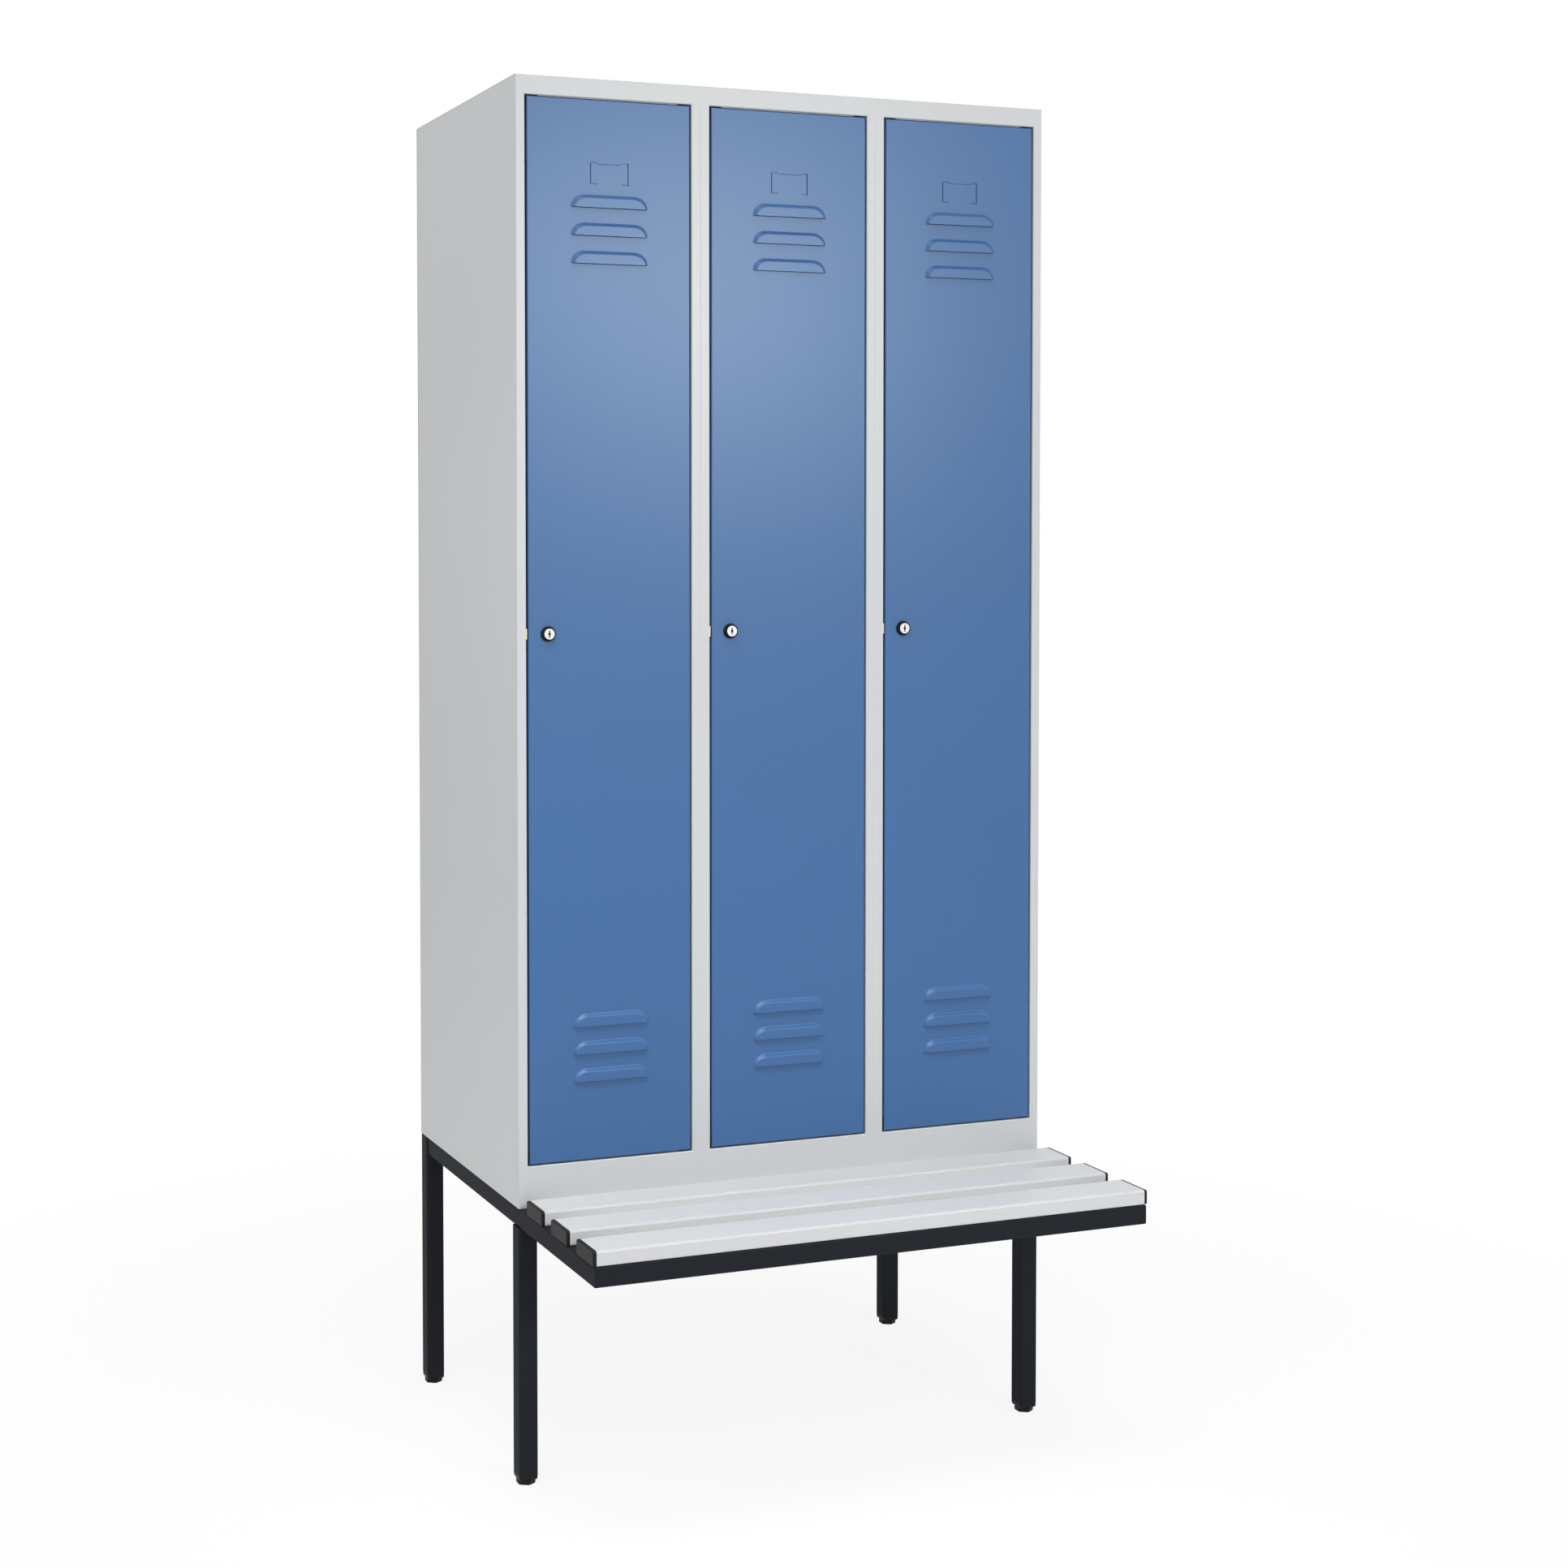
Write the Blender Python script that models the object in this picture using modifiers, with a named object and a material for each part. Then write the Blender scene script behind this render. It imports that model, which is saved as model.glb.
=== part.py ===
"""Steel locker with three doors on a square-tube underframe that carries a bench.

Metres, +Z up. The front faces -Y. The origin is on the floor, in the middle of the
whole footprint, from the back of the carcass to the front of the bench.
"""
import math

import bmesh
import bpy
from mathutils import Matrix, Vector

# Clearances
SEAM = 0.0003               # between fixed pieces that touch
TURNING_GAP = 0.0003        # round pins, stems and the coat rail

# Carcass
BODY_WIDTH = 0.900
BODY_DEPTH = 0.500
BODY_HEIGHT = 1.700
SHEET = 0.0008
FOLD_RADIUS = 0.0015
DOOR_COUNT = 3
STILE = 0.015               # one folded stile, two back to back between doors
STILE_DEPTH = 0.0215
STILE_LIP = 0.0105
REAR_FLANGE = 0.015
WELD_RADIUS = 0.003         # spot welds that hold a divider's two sheets together
WELDS_PER_DIVIDER = 3
TOP_RAIL = 0.029
TOP_RAIL_LIP = 0.012
BOTTOM_RAIL = 0.063

# Doors
SIDE_GAP = 0.00375
END_GAP = 0.003
DOOR_DEPTH = 0.020
DOOR_LIP = 0.012
HINGE_INSET = 0.010         # pin axis from the door's right edge
HINGE_DEPTH = 0.008         # pin axis behind the door's face
STIFFENER_INSET = 0.04125   # stiffener's middle from the door's right edge
STIFFENER_WIDTH = 0.030
STIFFENER_DEPTH = 0.010
STIFFENER_FLANGE = 0.010

# Louvers
LOUVER_WIDTH = 0.125
LOUVER_HEIGHT = 0.0195
LOUVER_RISE = 0.005
LOUVER_SLOPE = 0.0047
LOUVER_SHOULDER = 0.026     # length of the rounded end of its upper edge
LOUVER_PITCH = 0.042
LOUVERS_IN_GROUP = 3
UPPER_LOUVER_DROP = 0.1606  # door's upper edge to the highest louver's mouth
LOWER_LOUVER_LIFT = 0.120   # door's lower edge to the lowest louver's mouth

# Name card holder: two bracket slits through the door
CARD_WIDTH = 0.0625
CARD_HEIGHT = 0.0335
CARD_ARM = 0.0105
CARD_SLIT = 0.0012
CARD_DROP = 0.0922          # door's upper edge to the slits' upper edge

# Lock
LOCK_INSET = 0.031          # lock axis from the door's left edge
ROSETTE_RADIUS = 0.0117
ROSETTE_RIM_RADIUS = 0.0096
ROSETTE_HEIGHT = 0.007
LOCK_FACE_RADIUS = 0.0085
LOCK_BARREL_RADIUS = 0.0088
LOCK_BORE_RADIUS = 0.0074
LOCK_NUT_RADIUS = 0.0130
LOCK_NUT_HEIGHT = 0.004
KEYHOLE_WIDTH = 0.0014
KEYHOLE_HEIGHT = 0.0085
KEYHOLE_RADIUS = 0.0017
KEYHOLE_DEPTH = 0.003
CAM_WIDTH = 0.016
CAM_REACH = 0.043
CAM_TIP_RADIUS = 0.003
CAM_THICKNESS = 0.0025
CAM_SET_BACK = 0.002        # behind the stile's lip
CAM_SHAFT_RADIUS = 0.004
CAM_SCREW_RADIUS = 0.0062
STRIKE_HEIGHT = 0.0165
STRIKE_THICKNESS = 0.0012
STRIKE_DEPTH = 0.016
STRIKE_LIP = 0.009

# Hinges
PIN_RADIUS = 0.0025
PIN_HEAD_RADIUS = 0.0045
PIN_HEAD_HEIGHT = 0.002
PIN_REACH = 0.012           # beyond the door's edge
COLLAR_WALL = 0.0014        # drawn collar that the pin turns in
COLLAR_LENGTH = 0.007

# Plastic corner pieces
CORNER_LEG = 0.020
CORNER_THICKNESS = 0.002
CORNER_SET_BACK = 0.003
CORNER_DEPTH = 0.013

# Inside each compartment
SHELF_DROP = 0.271          # opening's upper edge to the shelf
SHELF_LIP = 0.020
SHELF_RETURN = 0.008
SHELF_SET_BACK = 0.012      # behind the stiles
COAT_RAIL_RADIUS = 0.0075
COAT_RAIL_DROP = 0.055
COAT_RAIL_CUP_RADIUS = 0.014
COAT_RAIL_CUP_LENGTH = 0.004
HOOKS_PER_RAIL = 3
HOOK_PITCH = 0.075
HOOK_WIRE_RADIUS = 0.002
HOOK_DROP = 0.045
HOOK_CURL_RADIUS = 0.011
HOOK_CURL = math.radians(200)

# Underframe
UNDERFRAME_HEIGHT = 0.424
TUBE = 0.030
TUBE_WALL = 0.0015
TUBE_CORNER = 0.0025
RAIL_INSET = 0.002
BENCH_REACH = 0.310
CONNECTOR_GAP = 0.003
CONNECTOR_INSERT = 0.025

# Feet
FOOT_FLATS = 0.0259
FOOT_HEIGHT = 0.007
FOOT_CHAMFER = 0.0006
STEM_RADIUS = 0.005
STEM_LENGTH = 0.030
PLUG_FLANGE_HEIGHT = 0.007
PLUG_FLANGE_INSET = 0.0003
PLUG_TAPER = 0.0005
PLUG_INSERT_HEIGHT = 0.020

# Bench
SLAT_COUNT = 3
SLAT_WIDTH = 0.067
SLAT_THICKNESS = 0.022
SLAT_PITCH = 0.1045
SLAT_WALL = 0.0015
SLAT_TOP_RADIUS = 0.003
SLAT_FOOT_RADIUS = 0.002
CAP_THICKNESS = 0.005
CAP_ROUNDING = 0.0018
CAP_INSERT = 0.008

# Fixings
BOLT_RADIUS = 0.004
BOLT_HEAD_RADIUS = 0.0075
BOLT_HEAD_HEIGHT = 0.0053
BOLT_GRIP = 0.012
BOLT_OFFSET_X = 0.300
BOLT_OFFSET_Y = 0.012
SCREW_RADIUS = 0.003
SCREW_HEAD_RADIUS = 0.0055
SCREW_HEAD_HEIGHT = 0.004
SCREW_BITE = 0.008

# Smoothness
FOLD_STEPS = 2
LOUVER_STEPS = 4
ROUND_SIDES = 20
SMALL_ROUND_SIDES = 12
FIXING_SIDES = 8
HOOK_CURL_STEPS = 5
CAM_END_STEPS = 8
WIRE_BEVEL_RESOLUTION = 1

# Places that follow from the sizes above
TOTAL_DEPTH = BODY_DEPTH + BENCH_REACH
BACK_Y = TOTAL_DEPTH / 2
FRONT_Y = BACK_Y - BODY_DEPTH
BENCH_FRONT_Y = -TOTAL_DEPTH / 2
HALF_WIDTH = BODY_WIDTH / 2
BODY_Z = UNDERFRAME_HEIGHT + SEAM
TOP_Z = BODY_Z + BODY_HEIGHT
OPENING_LOW_Z = BODY_Z + BOTTOM_RAIL
OPENING_HIGH_Z = TOP_Z - TOP_RAIL
COMPARTMENT_PITCH = BODY_WIDTH / DOOR_COUNT
OPENING_WIDTH = COMPARTMENT_PITCH - 2 * STILE
INNER_BACK_Y = BACK_Y - SHEET - SEAM
STILE_BACK_Y = FRONT_Y + STILE_DEPTH
BOLT_FRONT_Y = FRONT_Y + BOLT_OFFSET_Y
BOLT_REAR_Y = INNER_BACK_Y - BOLT_OFFSET_Y
UNDER_TOP_Z = TOP_Z - SHEET - SEAM
SHELF_Z = OPENING_HIGH_Z - SHELF_DROP

DOOR_WIDTH = OPENING_WIDTH - 2 * SIDE_GAP
DOOR_HEIGHT = OPENING_HIGH_Z - OPENING_LOW_Z - 2 * END_GAP
DOOR_MID_Z = (OPENING_HIGH_Z + OPENING_LOW_Z) / 2
HINGE_Y = FRONT_Y + HINGE_DEPTH
DOOR_LEFT = HINGE_INSET - DOOR_WIDTH      # in the door's own frame, from the pin axis
DOOR_RIGHT = HINGE_INSET
DOOR_FACE = -HINGE_DEPTH
DOOR_BACK = DOOR_DEPTH - HINGE_DEPTH
DOOR_MIDDLE = (DOOR_LEFT + DOOR_RIGHT) / 2
LOCK_X = DOOR_LEFT + LOCK_INSET
BARREL_HOLE_RADIUS = LOCK_BARREL_RADIUS + SEAM
COLLAR_BORE_RADIUS = PIN_RADIUS + TURNING_GAP

RAIL_TOP_Z = UNDERFRAME_HEIGHT
RAIL_LOW_Z = UNDERFRAME_HEIGHT - TUBE
RAIL_OUTER_X = HALF_WIDTH - RAIL_INSET
RAIL_MIDDLE_X = RAIL_OUTER_X - TUBE / 2
LEG_MIDDLE_X = HALF_WIDTH - TUBE / 2
FRONT_LEG_Y = FRONT_Y + TUBE / 2
REAR_LEG_Y = BACK_Y - TUBE / 2
REAR_LEG_FACE_Y = BACK_Y - TUBE
PLUG_LOW_Z = FOOT_HEIGHT + SEAM
LEG_LOW_Z = PLUG_LOW_Z + PLUG_FLANGE_HEIGHT + SEAM
TUBE_INSERT = TUBE - 2 * TUBE_WALL - 2 * SEAM

SLAT_LOW_Z = RAIL_TOP_Z + SEAM
SLAT_LENGTH = BODY_WIDTH - 2 * CAP_THICKNESS - 2 * SEAM
FRONT_SLAT_Y = BENCH_FRONT_Y + SLAT_WIDTH / 2

# Finishes: colour, roughness, metallic
FINISHES = {
    "body_grey": ((0.60, 0.62, 0.64), 0.45, 0.0),
    "door_blue": ((0.075, 0.155, 0.330), 0.40, 0.0),
    "frame_black": ((0.022, 0.024, 0.027), 0.50, 0.0),
    "slat_grey": ((0.64, 0.66, 0.68), 0.45, 0.0),
    "black_plastic": ((0.018, 0.018, 0.019), 0.45, 0.0),
    "zinc": ((0.62, 0.60, 0.55), 0.35, 1.0),
    "yellow_zinc": ((0.75, 0.60, 0.28), 0.35, 1.0),
    "nickel": ((0.72, 0.70, 0.66), 0.25, 1.0),
}


# Scene and finishes
def clear_scene():
    for old in list(bpy.data.objects):
        bpy.data.objects.remove(old, do_unlink=True)


def new_collection(name):
    group = bpy.data.collections.new(name)
    bpy.context.scene.collection.children.link(group)
    return group


clear_scene()
PARTS = new_collection("locker_with_bench")
CUTTERS = new_collection("cutters")


def make_finish(name):
    colour, roughness, metallic = FINISHES[name]
    material = bpy.data.materials.new(name)
    material.use_nodes = True
    shader = material.node_tree.nodes["Principled BSDF"]
    shader.inputs["Base Color"].default_value = (*colour, 1.0)
    shader.inputs["Roughness"].default_value = roughness
    shader.inputs["Metallic"].default_value = metallic
    return material


MATERIALS = {name: make_finish(name) for name in FINISHES}


# Objects
def add_part(name, mesh, finish, place=(0, 0, 0), parent=None):
    """A named piece; with a parent, its place is measured from the parent."""
    part = bpy.data.objects.new(name, mesh)
    PARTS.objects.link(part)
    if not mesh.materials:
        mesh.materials.append(MATERIALS[finish])
    part.parent = parent
    part.location = place
    return part


def add_axis(name, place, parent=None):
    """An empty on the axis that the pieces below it turn or slide on."""
    axis = bpy.data.objects.new(name, None)
    PARTS.objects.link(axis)
    axis.empty_display_size = 0.02
    axis.parent = parent
    axis.location = place
    return axis


def guide(name, mesh, place=(0, 0, 0), turn=None):
    """A cutter, or a form that a Boolean joins to a piece."""
    tool = bpy.data.objects.new(name, mesh)
    CUTTERS.objects.link(tool)
    tool.hide_render = True
    tool.display_type = "WIRE"
    tool.location = place
    if turn:
        tool.rotation_euler = turn
    return tool


def combine(part, tool, operation):
    step = part.modifiers.new(tool.name, "BOOLEAN")
    step.operation = operation
    step.solver = "EXACT"
    step.object = tool
    return part


def cut(part, *tools):
    for tool in tools:
        combine(part, tool, "DIFFERENCE")
    return part


def join(part, *tools):
    for tool in tools:
        combine(part, tool, "UNION")
    return part


def baked(source, name):
    """The mesh that an object's modifiers make, as a mesh of its own."""
    bpy.context.view_layer.update()
    evaluated = source.evaluated_get(bpy.context.evaluated_depsgraph_get())
    mesh = bpy.data.meshes.new_from_object(evaluated)
    mesh.name = name
    return mesh


# Meshes
def mesh_from(builder, name):
    mesh = bpy.data.meshes.new(name)
    builder.to_mesh(mesh)
    builder.free()
    return mesh


def box_mesh(name, size, middle=(0, 0, 0)):
    builder = bmesh.new()
    bmesh.ops.create_cube(builder, size=1.0)
    bmesh.ops.scale(builder, vec=size, verts=builder.verts)
    bmesh.ops.translate(builder, vec=middle, verts=builder.verts)
    return mesh_from(builder, name)


def span_box(name, low, high):
    size = [b - a for a, b in zip(low, high)]
    middle = [(a + b) / 2 for a, b in zip(low, high)]
    return box_mesh(name, size, middle)


def rod_mesh(name, radius, low, high, axis="Z", sides=ROUND_SIDES):
    """A cylinder or prism between two places on its axis."""
    builder = bmesh.new()
    bmesh.ops.create_cone(builder, cap_ends=True, segments=sides, radius1=radius,
                          radius2=radius, depth=high - low)
    bmesh.ops.translate(builder, vec=(0, 0, (low + high) / 2), verts=builder.verts)
    stand_along(builder, axis)
    return shade_round(mesh_from(builder, name))


def stand_along(builder, axis):
    """Turn what stands along +Z so that it runs along +X or +Y."""
    if axis == "X":
        bmesh.ops.rotate(builder, matrix=Matrix.Rotation(math.pi / 2, 3, "Y"), verts=builder.verts)
    elif axis == "Y":
        bmesh.ops.rotate(builder, matrix=Matrix.Rotation(-math.pi / 2, 3, "X"), verts=builder.verts)


def shade_round(mesh):
    mesh.shade_smooth()
    mesh.set_sharp_from_angle(angle=math.radians(35))
    return mesh


def turned_mesh(name, profile, axis="Z", sides=ROUND_SIDES):
    """A solid turned about its axis from (radius, height) points, top to bottom outside."""
    builder = bmesh.new()
    points = [builder.verts.new((radius, 0, height)) for radius, height in profile]
    closed = profile[0][0] > 0
    for a, b in zip(points, points[1:] + points[:1] if closed else points[1:]):
        builder.edges.new((a, b))
    outline = guide(name + "_profile", mesh_from(builder, name + "_profile"))
    screw = outline.modifiers.new("turn", "SCREW")
    screw.steps = sides
    screw.render_steps = sides
    screw.use_merge_vertices = True
    screw.merge_threshold = 0.0001
    mesh = baked(outline, name)
    bpy.data.objects.remove(outline, do_unlink=True)
    builder = bmesh.new()
    builder.from_mesh(mesh)
    stand_along(builder, axis)
    bmesh.ops.recalc_face_normals(builder, faces=builder.faces)
    builder.to_mesh(mesh)
    builder.free()
    return shade_round(mesh)


def rounded_path(points, radii, closed=False):
    """The points of a line with each inner corner replaced by an arc."""
    count = len(points)
    if not isinstance(radii, (list, tuple)):
        radii = [radii] * count
    result = []
    for index, (point, radius) in enumerate(zip(points, radii)):
        is_end = not closed and index in (0, count - 1)
        if is_end or radius == 0:
            result.append(Vector(point))
            continue
        corner = Vector(point)
        before = (Vector(points[index - 1]) - corner).normalized()
        after = (Vector(points[(index + 1) % count]) - corner).normalized()
        half_angle = before.angle(after) / 2
        reach = radius / math.tan(half_angle)
        centre = corner + (before + after).normalized() * radius / math.sin(half_angle)
        start = corner + before * reach - centre
        turn = math.pi - 2 * half_angle
        if before.cross(after) > 0:
            turn = -turn
        for step in range(FOLD_STEPS + 1):
            angle = turn * step / FOLD_STEPS
            result.append(centre + Matrix.Rotation(angle, 2) @ start)
    return result


# Which world axes a flat outline lies in, and the axis that it is drawn out along
PLANES = {
    "Z": lambda u, v, w: (u, v, w),
    "X": lambda u, v, w: (w, u, v),
    "Y": lambda u, v, w: (v, w, u),
}


def drawn_surface(name, path, low, high, along, closed=False):
    """An open surface: a path drawn out along an axis, outer side on the path's right."""
    place = PLANES[along]
    builder = bmesh.new()
    near = [builder.verts.new(place(u, v, low)) for u, v in path]
    far = [builder.verts.new(place(u, v, high)) for u, v in path]
    count = len(path)
    for index in range(count if closed else count - 1):
        after = (index + 1) % count
        builder.faces.new((near[index], near[after], far[after], far[index]))
    return mesh_from(builder, name)


def drawn_solid(name, outline, low, high, along):
    """A closed outline drawn out into a solid."""
    place = PLANES[along]
    builder = bmesh.new()
    face = builder.faces.new([builder.verts.new(place(u, v, low)) for u, v in outline])
    grown = bmesh.ops.extrude_face_region(builder, geom=[face])
    moved = [item for item in grown["geom"] if isinstance(item, bmesh.types.BMVert)]
    bmesh.ops.translate(builder, vec=place(0, 0, high - low), verts=moved)
    bmesh.ops.recalc_face_normals(builder, faces=builder.faces)
    return mesh_from(builder, name)


def give_wall(part, thickness):
    """Wall thickness on the inner side of an open surface."""
    wall = part.modifiers.new("wall", "SOLIDIFY")
    wall.thickness = thickness
    wall.offset = -1
    wall.use_even_offset = True
    return part


def folded_sheet(name, points, low, high, along, finish):
    """A sheet folded along a path of its outer face."""
    path = rounded_path(points, FOLD_RADIUS)
    return give_wall(add_part(name, drawn_surface(name, path, low, high, along), finish), SHEET)


def mirrored(points):
    """The same folds for the other hand."""
    return [(-u, v) for u, v in reversed(points)]


def shifted(points, du):
    return [(u + du, v) for u, v in points]


# Carcass
def side_fold(outer_x):
    """Plan of a sheet that closes a compartment on its left, from back to front."""
    return [
        (outer_x + REAR_FLANGE, INNER_BACK_Y),
        (outer_x, INNER_BACK_Y),
        (outer_x, FRONT_Y),
        (outer_x + STILE, FRONT_Y),
        (outer_x + STILE, STILE_BACK_Y),
        (outer_x + STILE - STILE_LIP, STILE_BACK_Y),
    ]


def build_sides():
    left = side_fold(-HALF_WIDTH)
    folded_sheet("side_panel_left", left, BODY_Z, UNDER_TOP_Z, "Z", "body_grey")
    folded_sheet("side_panel_right", mirrored(left), BODY_Z, UNDER_TOP_Z, "Z", "body_grey")


def build_dividers():
    """Two folded sheets spot welded back to back, cut away at the front for the top rail."""
    low = OPENING_LOW_Z + SEAM
    notch_low = OPENING_HIGH_Z - SEAM
    notch_back = STILE_BACK_Y + SEAM
    right_hand = side_fold(SEAM / 2)
    for index in range(1, DOOR_COUNT):
        name = f"divider_{index}"
        middle = -HALF_WIDTH + index * COMPARTMENT_PITCH
        surface = bmesh.new()
        for fold in (right_hand, mirrored(right_hand)):
            path = rounded_path(shifted(fold, middle), FOLD_RADIUS)
            surface.from_mesh(drawn_surface(name, path, low, UNDER_TOP_Z, "Z"))
        divider = give_wall(add_part(name, mesh_from(surface, name), "body_grey"), SHEET)
        reach = STILE + SEAM
        notch = span_box(name + "_notch", (middle - reach, FRONT_Y - SEAM, notch_low),
                         (middle + reach, notch_back, UNDER_TOP_Z + SEAM))
        cut(divider, guide(name + "_notch", notch))
        for number in range(WELDS_PER_DIVIDER):
            z = low + (UNDER_TOP_Z - low) * (number + 0.5) / WELDS_PER_DIVIDER
            reach_x = (SEAM + SHEET) / 2
            weld = rod_mesh(name + "_weld", WELD_RADIUS, -reach_x, reach_x, "X", FIXING_SIDES)
            join(divider, guide(name + "_weld", weld, (middle, FRONT_Y + BODY_DEPTH / 2, z)))


def stile_clearance(name, side, low, high):
    """The block that an outer stile fills, cut from a sheet that meets it."""
    inner = side * (HALF_WIDTH - STILE - SEAM)
    outer = side * (HALF_WIDTH + SEAM)
    return guide(name, span_box(name, (min(inner, outer), FRONT_Y - SEAM, low),
                                (max(inner, outer), STILE_BACK_Y + SEAM, high)))


def build_top():
    fold = [
        (BACK_Y, TOP_Z),
        (FRONT_Y, TOP_Z),
        (FRONT_Y, OPENING_HIGH_Z),
        (STILE_BACK_Y, OPENING_HIGH_Z),
        (STILE_BACK_Y, OPENING_HIGH_Z + TOP_RAIL_LIP),
    ]
    top = folded_sheet("top_panel", fold, -HALF_WIDTH, HALF_WIDTH, "X", "body_grey")
    for side, hand in ((-1, "left"), (1, "right")):
        cut(top, stile_clearance(f"top_stile_{hand}", side, OPENING_HIGH_Z - SEAM, UNDER_TOP_Z + SEAM))
    draw_collars(top, OPENING_HIGH_Z, 1)


def build_floor():
    half = HALF_WIDTH - SHEET - SEAM
    fold = [
        (INNER_BACK_Y - STILE_DEPTH, BODY_Z),
        (INNER_BACK_Y, BODY_Z),
        (INNER_BACK_Y, OPENING_LOW_Z),
        (FRONT_Y, OPENING_LOW_Z),
        (FRONT_Y, BODY_Z),
        (STILE_BACK_Y, BODY_Z),
    ]
    floor = folded_sheet("floor_panel", fold, -half, half, "X", "body_grey")
    for side, hand in ((-1, "left"), (1, "right")):
        cut(floor, stile_clearance(f"floor_stile_{hand}", side, BODY_Z - SEAM, OPENING_LOW_Z + SEAM))
        corner_x = side * (half - REAR_FLANGE)
        low_x, high_x = sorted((corner_x, side * HALF_WIDTH))
        corner = span_box("floor_corner_" + hand,
                          (low_x, INNER_BACK_Y - 2 * SHEET, BODY_Z - SEAM),
                          (high_x, BACK_Y, OPENING_LOW_Z + SEAM))
        cut(floor, guide("floor_corner_" + hand, corner))
    draw_collars(floor, OPENING_LOW_Z, -1)
    for x in (-BOLT_OFFSET_X, BOLT_OFFSET_X):
        for y in (BOLT_FRONT_Y, BOLT_REAR_Y):
            hole = rod_mesh("bolt_hole", BOLT_RADIUS + SEAM, -TUBE / 4, TUBE / 4,
                            sides=FIXING_SIDES)
            cut(floor, guide("bolt_hole", hole, (x, y, BODY_Z)))


def build_back():
    sheet = span_box("back_panel", (-HALF_WIDTH, BACK_Y - SHEET, BODY_Z),
                     (HALF_WIDTH, BACK_Y, UNDER_TOP_Z))
    add_part("back_panel", sheet, "body_grey")


# Inside each compartment
def opening_left(index):
    return -HALF_WIDTH + STILE + index * COMPARTMENT_PITCH


def hinge_x(index):
    return opening_left(index) + OPENING_WIDTH - SIDE_GAP - HINGE_INSET


def compartment_walls(index):
    """Inner faces of a compartment's two side sheets."""
    left = -HALF_WIDTH + index * COMPARTMENT_PITCH + SHEET
    right = -HALF_WIDTH + (index + 1) * COMPARTMENT_PITCH - SHEET
    if index > 0:
        left += SEAM / 2
    if index < DOOR_COUNT - 1:
        right -= SEAM / 2
    return left, right


def coat_rail_form(length):
    half = length / 2
    cup = half - COAT_RAIL_CUP_LENGTH
    profile = [
        (0, half), (COAT_RAIL_CUP_RADIUS, half), (COAT_RAIL_CUP_RADIUS, cup),
        (COAT_RAIL_RADIUS, cup), (COAT_RAIL_RADIUS, -cup),
        (COAT_RAIL_CUP_RADIUS, -cup), (COAT_RAIL_CUP_RADIUS, -half), (0, -half),
    ]
    return guide("coat_rail_form", turned_mesh("coat_rail", profile, "X", SMALL_ROUND_SIDES))


def hook_points():
    """A wire from the coat rail's axis down into a curl towards the front."""
    bottom = -COAT_RAIL_RADIUS - HOOK_DROP
    points = [(0, 0, -COAT_RAIL_RADIUS / 3)]
    for step in range(HOOK_CURL_STEPS + 1):
        angle = HOOK_CURL * step / HOOK_CURL_STEPS
        points.append((0, -HOOK_CURL_RADIUS * (1 - math.cos(angle)),
                       bottom - HOOK_CURL_RADIUS * math.sin(angle)))
    return points


def wire_mesh(name, points, radius):
    """A round wire along points, with its end caps welded on."""
    curve = bpy.data.curves.new(name, "CURVE")
    curve.dimensions = "3D"
    curve.bevel_depth = radius
    curve.bevel_resolution = WIRE_BEVEL_RESOLUTION
    curve.use_fill_caps = True
    line = curve.splines.new("POLY")
    line.points.add(len(points) - 1)
    for target, point in zip(line.points, points):
        target.co = (*point, 1)
    holder = guide(name + "_line", curve)
    mesh = baked(holder, name)
    bpy.data.objects.remove(holder, do_unlink=True)
    builder = bmesh.new()
    builder.from_mesh(mesh)
    bmesh.ops.remove_doubles(builder, verts=builder.verts, dist=0.00001)
    bmesh.ops.recalc_face_normals(builder, faces=builder.faces)
    builder.to_mesh(mesh)
    builder.free()
    return shade_round(mesh)


def build_compartments():
    front = STILE_BACK_Y + SHELF_SET_BACK
    back = INNER_BACK_Y - REAR_FLANGE
    rail_y = (FRONT_Y + BACK_Y) / 2
    rail_z = SHELF_Z - COAT_RAIL_DROP
    hook = wire_mesh("coat_hook", hook_points(), HOOK_WIRE_RADIUS)
    for index in range(DOOR_COUNT):
        left, right = compartment_walls(index)
        fold = [
            (back, SHELF_Z - SHELF_LIP), (back, SHELF_Z), (front, SHELF_Z),
            (front, SHELF_Z - SHELF_LIP), (front + SHELF_RETURN, SHELF_Z - SHELF_LIP),
        ]
        folded_sheet(f"hat_shelf_{index + 1}", fold, left + SEAM, right - SEAM, "X", "body_grey")
        middle = (left + right) / 2
        rail = coat_rail_form(right - left - 2 * SEAM)
        for place in range(HOOKS_PER_RAIL):
            shift = (place - (HOOKS_PER_RAIL - 1) / 2) * HOOK_PITCH
            join(rail, guide("coat_hook", hook, (shift, 0, 0)))
        add_part(f"coat_rail_{index + 1}", shade_round(baked(rail, "coat_rail")), "zinc",
                 (middle, rail_y, rail_z))


# Hinges
def draw_collars(sheet, face_z, up):
    """Collars drawn from a sheet, away from the doors, that the hinge pins turn in."""
    far_z = face_z + up * COLLAR_LENGTH
    low, high = sorted((face_z + up * SHEET / 2, far_z))
    collar = rod_mesh("collar", COLLAR_BORE_RADIUS + COLLAR_WALL, low, high,
                      sides=SMALL_ROUND_SIDES)
    bore = rod_mesh("collar_bore", COLLAR_BORE_RADIUS, low - COLLAR_LENGTH,
                    high + COLLAR_LENGTH, sides=SMALL_ROUND_SIDES)
    for index in range(DOOR_COUNT):
        place = (hinge_x(index), HINGE_Y, 0)
        join(sheet, guide("collar", collar, place))
        cut(sheet, guide("collar_bore", bore, place))


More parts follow.
